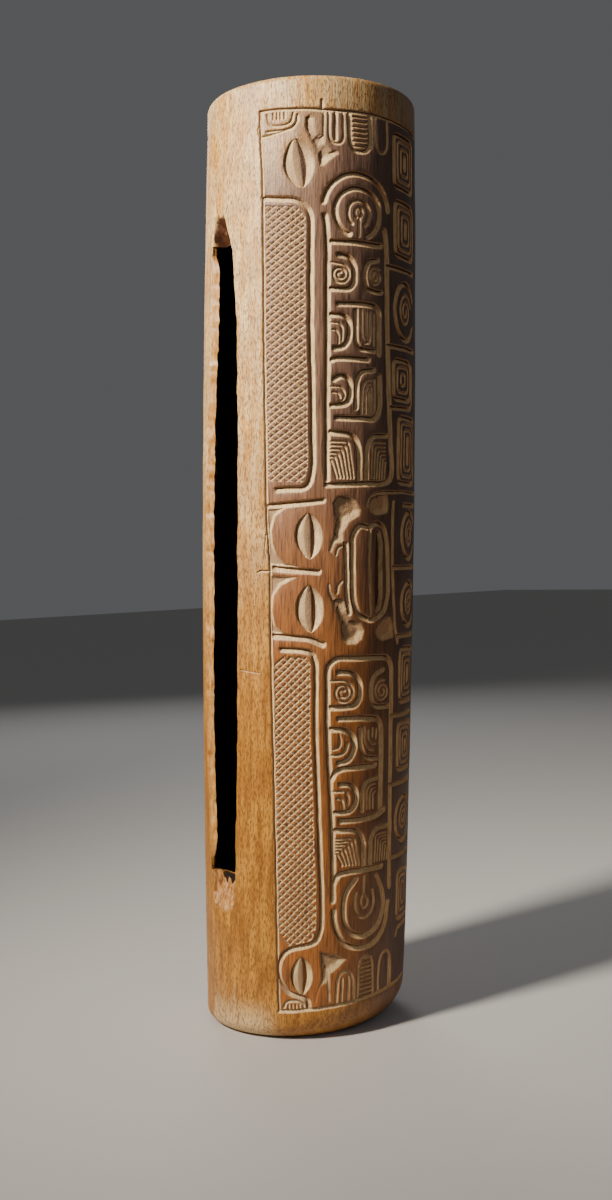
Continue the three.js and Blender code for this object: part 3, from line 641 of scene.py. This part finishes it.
class Skin:   # gathers points and faces of one closed mesh
    def __init__(self):
        self.points, self.faces, self.marks, self.count = [], [], [], 0

    def addPoints(self, points, **marks):
        flat = points.reshape(-1, 3)
        start = self.count
        self.points.append(flat)
        self.marks.append({name: np.broadcast_to(v, points.shape[:-1]).reshape(-1) for name, v in marks.items()})
        self.count += len(flat)
        return start + np.arange(len(flat)).reshape(points.shape[:-1])

    # Quads between neighbouring rows of point numbers, round in a ring where closed.
    def addSheet(self, index, closed=False, flip=False, keep=None):
        after = np.roll(index, -1, 1) if closed else index[:, 1:]
        before = index if closed else index[:, :-1]
        quads = np.stack([before[:-1], after[:-1], after[1:], before[1:]], -1)
        if keep is not None:
            quads = quads[keep]
        quads = quads.reshape(-1, 4)
        self.faces.append(quads[:, ::-1] if flip else quads)

    def addFan(self, ring, centre, flip=False):
        after = np.roll(ring, -1)
        fan = np.stack([np.full(len(ring), centre), ring, after], -1)
        self.faces.append(fan[:, ::-1] if flip else fan)

    def mesh(self, name):
        points = np.concatenate(self.points)
        sizes = np.concatenate([np.full(len(f), f.shape[1]) for f in self.faces])
        corners = np.concatenate([f.reshape(-1) for f in self.faces])
        mesh = bpy.data.meshes.new(name)
        mesh.vertices.add(len(points))
        mesh.vertices.foreach_set("co", points.astype(np.float32).reshape(-1))
        mesh.loops.add(len(corners))
        mesh.loops.foreach_set("vertex_index", corners.astype(np.int32))
        mesh.polygons.add(len(sizes))
        mesh.polygons.foreach_set("loop_start", np.concatenate([[0], np.cumsum(sizes)[:-1]]).astype(np.int32))
        mesh.update(calc_edges=True)
        names = sorted({n for marks in self.marks for n in marks})
        for markName in names:
            values = [m.get(markName, np.zeros(len(p))) for m, p in zip(self.marks, self.points)]
            layer = mesh.attributes.new(markName, "FLOAT", "POINT")
            layer.data.foreach_set("value", np.concatenate(values).astype(np.float32))
        return mesh


def buildSkin():
    skin = Skin()
    heights = rowHeights()
    arcs, slitColumns = columnArcs(heights)
    z = np.broadcast_to(heights[:, None], arcs.shape)
    facing = facingOf(arcs)
    radius = rimRadius(z, facing)
    shear = rimShear(z, facing, radius)
    carved, worn = surfaceDepth(arcs, z + shear, thinning["mainRelief"], thinning["plainRelief"])

    # the chopped ends of the slit run in as slopes between steep sides
    fraction = np.zeros(arcs.shape[1])
    fraction[:slitColumns] = np.linspace(0, 1, slitColumns, endpoint=False)
    sides = smoothStep(0, .14, fraction) * smoothStep(1, .86, fraction)
    lowRun = slit["slopeDepth"] * np.clip((z - slit["bottom"]) / slit["slopeBottom"], 0, 1)
    highRun = slit["slopeDepth"] * np.clip((slit["top"] - z) / slit["slopeTop"], 0, 1)
    run = np.minimum(lowRun, highRun) * sides
    chips = np.clip(run, 0, 1) * (1.3 * ripple(arcs * 1.6, z + arcs, 6, 61) + .6 * ripple(arcs * 2, z, 2.4, 62))
    ramp = np.maximum(run + chips, 0)
    bare = smoothStep(.4, 1.6, run)

    depth = worn + carved + ramp
    points = placed(arcs, radius - depth, z + shear)
    outer = skin.addPoints(points, bare=bare)

    first = int(np.argmin(np.abs(heights - slit["throughBottom"])))
    last = int(np.argmin(np.abs(heights - slit["throughTop"])))
    keep = np.ones((len(heights) - 1, arcs.shape[1]), bool)
    keep[first:last, :slitColumns] = False
    skin.addSheet(outer, closed=True, keep=keep)

    # foot and head, sawn across
    for row, flip, steps in ((0, False, 10), (len(heights) - 1, True, 12)):
        base = points[row]
        centre = base.mean(0)
        ring = [outer[row]]
        rings = []
        for k in range(1, steps):
            shrink = 1 - k / steps
            level = centre + (base - centre) * shrink
            if row:
                level[:, 2] -= .25 + .25 * ripple(level[:, 0], level[:, 1], 12, 71)
            rings.append(level)
        inner = skin.addPoints(np.array(rings), end=1)
        middle = skin.addPoints(centre[None] - [[0, 0, .3 if row else 0]], end=1)
        skin.addSheet(np.concatenate([[ring[0]], inner]), closed=True, flip=not flip)
        skin.addFan(inner[-1], middle[0], flip=not flip)

    # the chamber inside
    levels = heights[first:last + 1]
    down = math.pi / 2 * np.linspace(0, 1, 9)[1:-1]
    low = [(chamber["radius"] * math.sin(a), chamber["bottom"] + chamber["end"] * (1 - math.cos(a))) for a in down]
    low += [(chamber["radius"], 98)]
    high = [(chamber["radius"] * math.cos(a), chamber["top"] - chamber["end"] * (1 - math.sin(a))) for a in down]
    profile = low + [(chamber["radius"], h) for h in levels] + high
    radii, innerZ = np.array(profile).T
    startRow = len(low)
    clamped = np.clip(innerZ, levels[0], levels[-1])
    left, right = slitEdges(clamped)
    share = np.linspace(0, 1, slitColumns + 1)
    edgeX = left[:, None] + (right - left)[:, None] * share
    openAngle = np.arcsin(edgeX / chamber["radius"])
    backShare = np.linspace(0, 1, spans["chamber"] + 1)[1:-1]
    backStart, backEnd = openAngle[:, -1:], openAngle[:, :1] + 2 * math.pi
    angles = np.concatenate([openAngle, backStart + (backEnd - backStart) * backShare], 1)
    rows = np.broadcast_to(innerZ[:, None], angles.shape)
    rough = chamber["roughness"] * (ripple(angles * 57, rows, 15, 81) + .5 * ripple(angles * 57, rows, 6, 82))
    calm = np.concatenate([np.zeros(slitColumns + 1), np.sin(math.pi * backShare) ** .4])
    innerRadius = radii[:, None] - np.abs(rough) * calm
    inside = np.stack([
        innerRadius * np.sin(angles), -innerRadius * np.cos(angles) - chamber["towardsSlit"], rows,
    ], -1)
    lining = skin.addPoints(inside, inside=1)
    keep = np.ones((len(innerZ) - 1, angles.shape[1]), bool)
    keep[startRow:startRow + len(levels) - 1, :slitColumns] = False
    skin.addSheet(lining, closed=True, flip=True, keep=keep)
    floorPoint = skin.addPoints(np.array([[0, -chamber["towardsSlit"], chamber["bottom"]]]), inside=1)
    roofPoint = skin.addPoints(np.array([[0, -chamber["towardsSlit"], chamber["top"]]]), inside=1)
    skin.addFan(lining[0], floorPoint[0])
    skin.addFan(lining[-1], roofPoint[0], flip=True)

    # the lips, cut straight in and left ragged
    n, m = slitColumns, len(levels)
    top, bottomRow = first + m - 1, first
    outerLoop = np.concatenate([
        outer[bottomRow, :n + 1], outer[bottomRow + 1:top, n], outer[top, :n + 1][::-1],
        outer[bottomRow + 1:top, 0][::-1],
    ])
    a, b = startRow, startRow + m - 1
    innerLoop = np.concatenate([
        lining[a, :n + 1], lining[a + 1:b, n], lining[b, :n + 1][::-1], lining[a + 1:b, 0][::-1],
    ])
    side = np.concatenate([np.zeros(n + 1), np.full(m - 2, 1), np.zeros(n + 1), np.full(m - 2, -1)])
    allPoints = np.concatenate(skin.points)
    start, end = allPoints[outerLoop], allPoints[innerLoop]
    strips, lipShare = [], []
    bevel = slit["bevel"] * (side < 0) * smoothStep(100, 125, start[:, 2]) * smoothStep(505, 480, start[:, 2])
    for t in (.06, .13, .21, .3, .36, .46, .6, .8):
        place = start + (end - start) * t
        place[:, 0] += bevel * np.interp(t, [0, slit["bevelShare"], 1], [0, 1, 0])
        lipShare.append(t < .33)
        tear = 1.1 * math.sin(math.pi * t) ** .6
        wander = ripple(place[:, 2], t * 11 + side * 40, 6, 91) + .7 * ripple(place[:, 2], t * 11 + side * 40, 2.6, 92)
        place[:, 0] += side * (tear * (.5 + .5 * wander) - .2)
        strips.append(place)
    onLip = np.array(lipShare, float)[:, None]
    lip = skin.addPoints(np.array(strips), lip=onLip, inside=1 - onLip)
    sheet = np.concatenate([[outerLoop], lip, [innerLoop]])
    skin.addSheet(sheet, closed=True)
    print("skin of", skin.count, "points")
    return skin.mesh("drum_skin")


print("shaping the log")
skinMesh = buildSkin()
drum = bpy.data.objects.new("drum_carved", skinMesh)
bpy.context.scene.collection.objects.link(drum)
splitter = drum.modifiers.new("split", "TRIANGULATE")
splitter.quad_method = "SHORTEST_DIAGONAL"
thinner = drum.modifiers.new("thin", "DECIMATE")
wanted = thinning["triangles"] * 1
thinner.ratio = min(1, wanted / (2 * len(skinMesh.polygons)))
print("thinning the mesh from", 2 * len(skinMesh.polygons), "triangles")
thinned = bpy.data.meshes.new_from_object(drum.evaluated_get(bpy.context.evaluated_depsgraph_get()))
drum.modifiers.clear()
drum.data = thinned
bpy.data.meshes.remove(skinMesh)
thinned.name = "drum_carved"
print("drum mesh of", len(thinned.polygons), "faces and", len(thinned.vertices), "points")

def leftBorder(z):
    return np.interp(z, [19, 297, 400, 579], [-18, -24.3, -28.7, -34.3])


def pointsOf(mesh):
    co = np.empty(len(mesh.vertices) * 3, np.float32)
    mesh.vertices.foreach_get("co", co)
    return co.reshape(-1, 3).astype(float)


def readMark(mesh, name):
    values = np.empty(len(mesh.vertices), np.float32)
    mesh.attributes[name].data.foreach_get("value", values)
    return values


# Puts the carved skin back from its exaggerated depth to the true one.
def settleRelief(mesh):
    co = pointsOf(mesh)
    x, y, z = co.T
    arc = log["arcRadius"] * np.arctan2(x, -y)
    s, sBack = arc - log["panelZero"], -arc - log["panelZero"]
    onPanels = ((s > -44) & (s < 106.5)) | ((sBack > -37.5) & (sBack < 67.5))
    onSkin = (readMark(mesh, "inside") + readMark(mesh, "lip") + readMark(mesh, "end") < .01) & (z > 12) & (z < 590)
    facing = facingOf(arc)
    straight = z - rimShear(z, facing, logRadius(z))
    carved, worn = surfaceDepth(arc, z)
    radius = np.where(onPanels & onSkin, rimRadius(straight, facing) - carved - worn, np.hypot(x, y))
    co[:, :2] *= (radius / np.hypot(x, y))[:, None]
    mesh.vertices.foreach_set("co", co.astype(np.float32).reshape(-1))
    mesh.update()


def paintMaps(mesh):
    x, y, z = pointsOf(mesh).T

    def read(name):
        return readMark(mesh, name)

    outside = np.clip(1 - read("inside") - read("lip") - read("end"), 0, 1)
    arc = log["arcRadius"] * np.arctan2(x, -y)
    s, sBack = arc - log["panelZero"], -arc - log["panelZero"]
    carved = sampled(mainPanel, "depth", s, z) + sampled(plainPanel, "depth", sBack, z)
    wander = 1.2 * ripple(s, z, 5, 101)
    onMain = smoothStep(-1, 1, s - leftBorder(z) + wander * .3) * smoothStep(112, 102, s + wander)
    onPlain = smoothStep(-1, 1, sBack - leftBorder(z) + wander * .3) * smoothStep(76, 66, sBack + wander)
    between = smoothStep(580.5, 578, z) * smoothStep(18, 20, z - .105 * (s + 18) * (s > -30))
    # the stain is thin round the first eye and fills in to the right and down
    thin = smoothStep(515, 560, z + 8 * ripple(s, z, 20, 104)) * smoothStep(16, -22, s)
    stain = np.maximum(onMain * (1 - .75 * thin), .8 * onPlain) * between * outside
    scuffs = smoothStep(.1, .7, ripple(s, z, 3, 105))
    rubbedFoot = smoothStep(26, 8, z) * smoothStep(-14, -34, s) * (s > -80)
    rubbedHead = smoothStep(588, 599, z) * scuffs * smoothStep(40, 0, s)
    patch = smoothStep(9, 2, np.hypot(s + 67, (z - 45) * 1.6)) * scuffs
    values = {
        "carve": carved * outside,
        "stain": stain,
        "warmth": smoothStep(410, 190, z + 18 * ripple(s, z, 30, 102)),
        # shade: painted shade, darker to the right of the panel where the drum turns away from the key light
        "shade": smoothStep(0, 72, s + 6 * ripple(s, z, 18, 103)) * smoothStep(150, 110, s),
        # the chopped ends darken towards the top of the slit
        "scorch": smoothStep(400, 480, z),
        "worn": np.clip(.8 * rubbedFoot + rubbedHead + .8 * patch, 0, 1),
        "inner": read("inside"),
        "lipFace": read("lip"),
        "endGrain": read("end"),
        "chopped": read("bare") * outside,
    }
    for name in ("inside", "lip", "end", "bare"):
        mesh.attributes.remove(mesh.attributes[name])
    for name, value in values.items():
        layer = mesh.attributes.new(name, "FLOAT", "POINT")
        layer.data.foreach_set("value", value.astype(np.float32))


settleRelief(thinned)
paintMaps(thinned)
thinned.transform(leanMatrix @ Matrix.Scale(.001, 4))
thinned.polygons.foreach_set("use_smooth", [True] * len(thinned.polygons))
thinned.set_sharp_from_angle(angle=math.radians(20))


def paint(code):   # sRGB hex to linear colour
    parts = [int(code[i:i + 2], 16) / 255 for i in (1, 3, 5)]
    return tuple(c / 12.92 if c <= .04045 else ((c + .055) / 1.055) ** 2.4 for c in parts) + (1,)


# One node with its settings, and its inputs as numbers or as links from other nodes.
def addNode(tree, kind, settings, inputs):
    made = tree.nodes.new(kind)
    for name, value in settings.items():
        setattr(made, name, value)
    for name, value in inputs.items():
        if isinstance(value, bpy.types.NodeSocket):
            tree.links.new(value, made.inputs[name])
        else:
            made.inputs[name].default_value = value
    return made.outputs


# Hardwood log, gouged by hand, stained dark on the panel and rubbed with oil. The raised faces keep the stain and a
# soft sheen, the steep side of each cut is darkened as painted shadow, its long side shows pale dusty wood made paler
# where it faces the key light as painted light, and the grain runs up the log as fine streaks.
carvedWood = {
    "plainPale": "#F0CF92", "plainGold": "#D4963C", "plainGrey": "#AE926E", "plainHoney": "#9E6622",
    "plainBrown": "#70441C",
    "stainedCool": "#8E6C54", "stainedWarm": "#B46E2C", "stainedDeep": "#5A3826", "stainedStreak": "#351E12",
    # the darkest cut colour stands for painted shadow in the cuts
    "cutPale": "#EACB94", "cutTan": "#A48460", "shadowDark": "#20100A",
    "chopped": "#D8A05C", "choppedDark": "#7A4820", "choppedTopDark": "#47260F",
    # the chamber colour is near black: painted shade inside the hollow
    "chamber": "#0C0503", "lip": "#D9A35C",
    "endGrain": "#A5804F", "endRing": "#7C5730",
    "fibre": .0011,        # width of a grain streak, in metres
    "fibreStretch": .06,   # streaks are about sixteen times as long as they are wide
    "streak": .0035,       # broader bands of colour, and how they run
    "streakStretch": .12,
    "fleck": .0009,        # short open pores
    "mottle": .018,        # clouds of colour
    "tick": .0011,         # ends of the grain that show across a cut
    "tickStretch": .15,
    "toolMark": .0011,     # spacing of the short marks a gouge leaves across its cut
    "ring": .0032,         # yearly growth
    "sheen": .42,          # roughness of the oiled faces
    "dry": .8,             # and of the cuts
    "ior": 1.5,
}


def makeCarvedWood():
    look = carvedWood
    material = bpy.data.materials.new("oiled_carved_hardwood")
    material.use_nodes = True
    tree = material.node_tree
    tree.nodes.clear()
    add = functools.partial(addNode, tree)
    colours = {name: paint(code) for name, code in look.items() if isinstance(code, str)}
    mark = {
        name: add("ShaderNodeAttribute", {"attribute_name": name}, {})["Fac"]
        for name in ("carve", "stain", "warmth", "shade", "inner", "lipFace", "endGrain", "chopped", "scorch", "worn")
    }
    blend = {"data_type": "RGBA"}

    # the log's own upright frame, in metres
    upright = leanMatrix.inverted().to_euler()
    place = add("ShaderNodeTexCoord", {}, {})["Object"]
    place = add("ShaderNodeMapping", {}, {"Vector": place, "Rotation": upright})[0]
    along = add("ShaderNodeMapping", {}, {"Vector": place, "Scale": (1, 1, look["fibreStretch"])})[0]
    banded = add("ShaderNodeMapping", {}, {"Vector": place, "Scale": (1, 1, look["streakStretch"])})[0]
    short = add("ShaderNodeMapping", {}, {"Vector": place, "Scale": (1, 1, .3)})[0]
    fibre = add("ShaderNodeTexNoise", {}, {
        "Vector": along, "Scale": 1 / look["fibre"], "Detail": 4., "Roughness": .6})["Fac"]
    band = add("ShaderNodeTexNoise", {}, {
        "Vector": banded, "Scale": 1 / look["streak"], "Detail": 3., "Roughness": .6})["Fac"]
    fleck = add("ShaderNodeTexNoise", {}, {
        "Vector": short, "Scale": 1 / look["fleck"], "Detail": 2., "Roughness": .5})["Fac"]
    cloud = add("ShaderNodeTexNoise", {}, {
        "Vector": place, "Scale": 1 / look["mottle"], "Detail": 3., "Roughness": .6})["Fac"]
    grain = add("ShaderNodeMapRange", {}, {"Value": fibre, "From Min": .34, "From Max": .66})["Result"]
    bands = add("ShaderNodeMapRange", {}, {"Value": band, "From Min": .36, "From Max": .64})["Result"]
    clouds = add("ShaderNodeMapRange", {}, {"Value": cloud, "From Min": .36, "From Max": .66})["Result"]
    flecks = add("ShaderNodeMapRange", {}, {
        "Value": fleck, "From Min": .48, "From Max": .62, "To Max": .7})["Result"]

    # bare oiled wood: pale and mottled above, honey brown below
    high = add("ShaderNodeMix", blend, {0: bands, 6: colours["plainGold"], 7: colours["plainPale"]})[2]
    greying = add("ShaderNodeMath", {"operation": "MULTIPLY"}, {0: clouds, 1: .5})[0]
    high = add("ShaderNodeMix", blend, {0: greying, 6: high, 7: colours["plainGrey"]})[2]
    low = add("ShaderNodeMix", blend, {0: bands, 6: colours["plainHoney"], 7: colours["plainGold"]})[2]
    mottleAndPaintedShade = add("ShaderNodeMath", {"operation": "MULTIPLY"}, {0: clouds, 1: .5})[0]
    low = add("ShaderNodeMix", blend, {0: mottleAndPaintedShade, 6: low, 7: colours["plainHoney"]})[2]
    plain = add("ShaderNodeMix", blend, {0: mark["warmth"], 6: high, 7: low})[2]
    plain = add("ShaderNodeMix", blend, {0: mark["worn"], 6: plain, 7: colours["cutPale"]})[2]
    plain = add("ShaderNodeMix", blend, {0: flecks, 6: plain, 7: colours["plainBrown"]})[2]
    # painted shade: the bare wood darkens to the right, away from the key light
    mottleAndPaintedShade = add("ShaderNodeMath", {"operation": "MULTIPLY"}, {0: mark["shade"], 1: .75})[0]
    plain = add("ShaderNodeMix", blend, {0: mottleAndPaintedShade, 6: plain, 7: colours["stainedDeep"]})[2]

    # stained faces of the panel, with dark streaks up the grain
    stained = add("ShaderNodeMix", blend, {
        0: mark["warmth"], 6: colours["stainedCool"], 7: colours["stainedWarm"]})[2]
    deep = add("ShaderNodeMapRange", {}, {"Value": band, "From Min": .38, "From Max": .7, "To Max": .45})["Result"]
    stained = add("ShaderNodeMix", blend, {0: deep, 6: stained, 7: colours["stainedDeep"]})[2]
    streak = add("ShaderNodeMapRange", {}, {"Value": fibre, "From Min": .48, "From Max": .66, "To Max": .7})["Result"]
    stained = add("ShaderNodeMix", blend, {0: streak, 6: stained, 7: colours["stainedStreak"]})[2]
    # painted shade: the stained faces darken to the right, away from the key light
    shading = add("ShaderNodeMath", {"operation": "MULTIPLY"}, {0: mark["shade"], 1: .82})[0]
    stained = add("ShaderNodeMix", blend, {0: shading, 6: stained, 7: colours["stainedStreak"]})[2]
    body = add("ShaderNodeMix", blend, {0: mark["stain"], 6: plain, 7: stained})[2]

    # cuts: pale dusty wood, paler on the long side that faces the key light (partly painted light), and darkened on
    # the steep upper left side as painted shadow
    normal = add("ShaderNodeNewGeometry", {}, {})["Normal"]
    normal = add("ShaderNodeMapping", {"vector_type": "NORMAL"}, {"Vector": normal, "Rotation": upright})[0]
    around = add("ShaderNodeVectorMath", {"operation": "CROSS_PRODUCT"}, {0: (0, 0, 1), 1: place})[0]
    around = add("ShaderNodeVectorMath", {"operation": "NORMALIZE"}, {0: around})[0]
    steep = add("ShaderNodeVectorMath", {"operation": "SUBTRACT"}, {0: around, 1: (0, 0, 1)})[0]
    tilt = add("ShaderNodeVectorMath", {"operation": "DOT_PRODUCT"}, {0: normal, 1: steep})["Value"]
    # painted shadow: walls that face down and to the right, away from the key light
    shadowedSide = add("ShaderNodeMapRange", {}, {"Value": tilt, "From Min": .05, "From Max": .35})["Result"]
    ticked = add("ShaderNodeMapping", {}, {"Vector": place, "Scale": (1, 1, look["tickStretch"])})[0]
    tick = add("ShaderNodeTexNoise", {}, {
        "Vector": ticked, "Scale": 1 / look["tick"], "Detail": 3., "Roughness": .6})["Fac"]
    dusty = add("ShaderNodeMapRange", {}, {"Value": tick, "From Min": .38, "From Max": .56})["Result"]
    # pale cut wood, made paler only on walls that face up and to the left towards the key light: partly painted light
    facing = add("ShaderNodeMapRange", {}, {"Value": tilt, "From Min": -.08, "From Max": -.45})["Result"]
    paleLitSide = add("ShaderNodeMapRange", {}, {"Value": dusty, "To Min": .35, "To Max": 1.})["Result"]
    paleLitSide = add("ShaderNodeMath", {"operation": "MULTIPLY"}, {0: facing, 1: paleLitSide})[0]
    cut = add("ShaderNodeMix", blend, {0: paleLitSide, 6: colours["cutTan"], 7: colours["cutPale"]})[2]
    # painted shade: the cuts darken to the right, away from the key light
    paintedShadeOnCuts = add("ShaderNodeMath", {"operation": "MULTIPLY"}, {0: mark["shade"], 1: .45})[0]
    cut = add("ShaderNodeMix", blend, {0: paintedShadeOnCuts, 6: cut, 7: colours["stainedWarm"]})[2]
    # the dark tone of the painted shadows in the cuts
    shadowTone = add("ShaderNodeMix", blend, {0: .5, 6: stained, 7: colours["shadowDark"]})[2]
    deepCut = add("ShaderNodeMapRange", {}, {"Value": mark["carve"], "From Min": .5, "From Max": 1.3})["Result"]
    shadowedSide = add("ShaderNodeMath", {"operation": "MULTIPLY"}, {0: shadowedSide, 1: deepCut})[0]
    cut = add("ShaderNodeMix", blend, {0: shadowedSide, 6: cut, 7: shadowTone})[2]
    # painted shadow on the floor of the deepest hollows, such as the mouth's throat
    throatShadow = add("ShaderNodeMapRange", {}, {"Value": mark["carve"], "From Min": 2.7, "From Max": 3.3})["Result"]
    cut = add("ShaderNodeMix", blend, {0: throatShadow, 6: cut, 7: shadowTone})[2]
    inCut = add("ShaderNodeMapRange", {}, {"Value": mark["carve"], "From Min": .15, "From Max": .5})["Result"]
    body = add("ShaderNodeMix", blend, {0: inCut, 6: body, 7: cut})[2]

    # raw chopped ends, torn lips, the chamber painted near black as painted shade inside the hollow, and the sawn ends
    splinter = add("ShaderNodeTexNoise", {}, {
        "Vector": short, "Scale": 520., "Detail": 4., "Roughness": .65})["Fac"]
    torn = add("ShaderNodeMapRange", {}, {"Value": splinter, "From Min": .36, "From Max": .62})["Result"]
    raw = add("ShaderNodeMix", blend, {0: torn, 6: colours["choppedDark"], 7: colours["chopped"]})[2]
    # the chopped ends are darker towards the top of the slit
    raw = add("ShaderNodeMix", blend, {0: mark["scorch"], 6: raw, 7: colours["choppedTopDark"]})[2]
    body = add("ShaderNodeMix", blend, {0: mark["chopped"], 6: body, 7: raw})[2]
    lip = add("ShaderNodeMix", blend, {0: torn, 6: colours["plainHoney"], 7: colours["lip"]})[2]
    body = add("ShaderNodeMix", blend, {0: mark["lipFace"], 6: body, 7: lip})[2]
    # painted shade: the chamber and the inner lip faces are coloured near black
    body = add("ShaderNodeMix", blend, {0: mark["inner"], 6: body, 7: colours["chamber"]})[2]
    wave = add("ShaderNodeTexWave", {"wave_type": "RINGS", "rings_direction": "Z"}, {
        "Vector": place, "Scale": .3 / look["ring"], "Distortion": 2.2, "Detail": 2., "Detail Scale": .6,
    })["Fac"]
    rings = add("ShaderNodeMix", blend, {0: wave, 6: colours["endGrain"], 7: colours["endRing"]})[2]
    body = add("ShaderNodeMix", blend, {0: mark["endGrain"], 6: body, 7: rings})[2]

    roughness = add("ShaderNodeMapRange", {}, {
        "Value": fibre, "From Min": .3, "From Max": .7, "To Min": look["sheen"] - .05, "To Max": look["sheen"] + .1,
    })["Result"]
    roughness = add("ShaderNodeMix", {"data_type": "FLOAT"}, {0: inCut, 2: roughness, 3: look["dry"]})[0]
    toolMarks = add("ShaderNodeTexNoise", {}, {
        "Vector": place, "Scale": 1 / look["toolMark"], "Detail": 2., "Roughness": .5})["Fac"]
    relief = add("ShaderNodeMix", {"data_type": "FLOAT"}, {0: .4, 2: fibre, 3: fleck})[0]
    relief = add("ShaderNodeMix", {"data_type": "FLOAT"}, {0: inCut, 2: relief, 3: toolMarks})[0]
    bump = add("ShaderNodeBump", {}, {"Height": relief, "Distance": .0006, "Strength": .8})["Normal"]
    shader = add("ShaderNodeBsdfPrincipled", {}, {
        "Base Color": body, "Roughness": roughness, "Normal": bump, "IOR": look["ior"],
    })["BSDF"]
    add("ShaderNodeOutputMaterial", {}, {"Surface": shader})
    return material


# Matt painted board: even and pale.
def makeFloorPaint():
    material = bpy.data.materials.new("matt_floor")
    material.use_nodes = True
    shader = material.node_tree.nodes["Principled BSDF"]
    shader.inputs["Base Color"].default_value = paint("#BFBDB9")
    shader.inputs["Roughness"].default_value = .85
    return material


thinned.materials.clear()
thinned.materials.append(makeCarvedWood())
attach(drum, "root")
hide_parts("drum")
print("drum finished")


studio = {
    "floorSize": 14,
    "viewAround": 54,                 # degrees from the slit round to the camera
    "viewDistance": .91906,
    "viewHeight": .3036, "viewAcross": -.00124,
    "pitch": .0304, "roll": -.0067,   # radians
    "focal": 1375.5, "imageHeight": 1200,
    "sky": "#C8C9CC", "skyStrength": .17,
    "lampAim": .38,
}
half = studio["floorSize"] / 2
floorMesh = bpy.data.meshes.new("floor")
floorMesh.from_pydata([(-half, -half, 0), (half, -half, 0), (half, half, 0), (-half, half, 0)], [], [(0, 1, 2, 3)])
floorMesh.materials.append(makeFloorPaint())
floor = bpy.data.objects.new("floor", floorMesh)
bpy.context.scene.collection.objects.link(floor)


def makeCamera():
    around = math.radians(studio["viewAround"])
    right = Vector((math.cos(around), math.sin(around), 0))
    level = Vector((-math.sin(around), math.cos(around), 0))
    upright = Vector((0, 0, 1))
    place = right * studio["viewAcross"] - level * studio["viewDistance"] + upright * studio["viewHeight"]
    cos, sin = math.cos(studio["pitch"]), math.sin(studio["pitch"])
    forward = level * cos - upright * sin
    up = level * sin + upright * cos
    cosRoll, sinRoll = math.cos(studio["roll"]), math.sin(studio["roll"])
    across, upward = right * cosRoll - up * sinRoll, right * sinRoll + up * cosRoll
    pose = Matrix((across, upward, -forward)).transposed().to_4x4()
    pose.translation = place
    data = bpy.data.cameras.new("camera")
    data.sensor_fit = "VERTICAL"
    data.sensor_height = 24
    data.lens = data.sensor_height * studio["focal"] / studio["imageHeight"]
    data.clip_start = .05
    camera = bpy.data.objects.new("camera", data)
    bpy.context.scene.collection.objects.link(camera)
    camera.matrix_world = leanMatrix @ pose   # leans with the log, so that the log stands upright in view
    bpy.context.scene.camera = camera


lamps = [   # name, degrees around from the slit, elevation, distance, size, spread of the beam, watts, colour
    ("key", 3, 36, 1.3, .2, 60, 4.8, "#FFF4E6"),
    ("fill", 80, 25, 2.2, 1.2, 150, 2.2, "#EEF0FF"),
    ("back", 245, 25, 2.2, 1.0, 150, 8, "#FFFFFF"),
]


def makeLamp(name, around, elevation, distance, size, spread, watts, colour):
    data = bpy.data.lights.new(name, "AREA")
    data.shape = "DISK"
    data.size = size
    data.energy = watts
    data.color = paint(colour)[:3]
    data.spread = math.radians(spread)
    lamp = bpy.data.objects.new(name, data)
    bpy.context.scene.collection.objects.link(lamp)
    a, e = math.radians(around), math.radians(elevation)
    aim = Vector((0, 0, studio["lampAim"]))
    lamp.location = aim + distance * Vector((math.sin(a) * math.cos(e), -math.cos(a) * math.cos(e), math.sin(e)))
    lamp.rotation_euler = (aim - lamp.location).to_track_quat("-Z", "Y").to_euler()


makeCamera()
for lamp in lamps:
    makeLamp(*lamp)
sky = bpy.data.worlds.new("sky")
sky.use_nodes = True
sky.node_tree.nodes["Background"].inputs["Color"].default_value = paint(studio["sky"])
sky.node_tree.nodes["Background"].inputs["Strength"].default_value = studio["skyStrength"]
bpy.context.scene.world = sky
print("stage set")
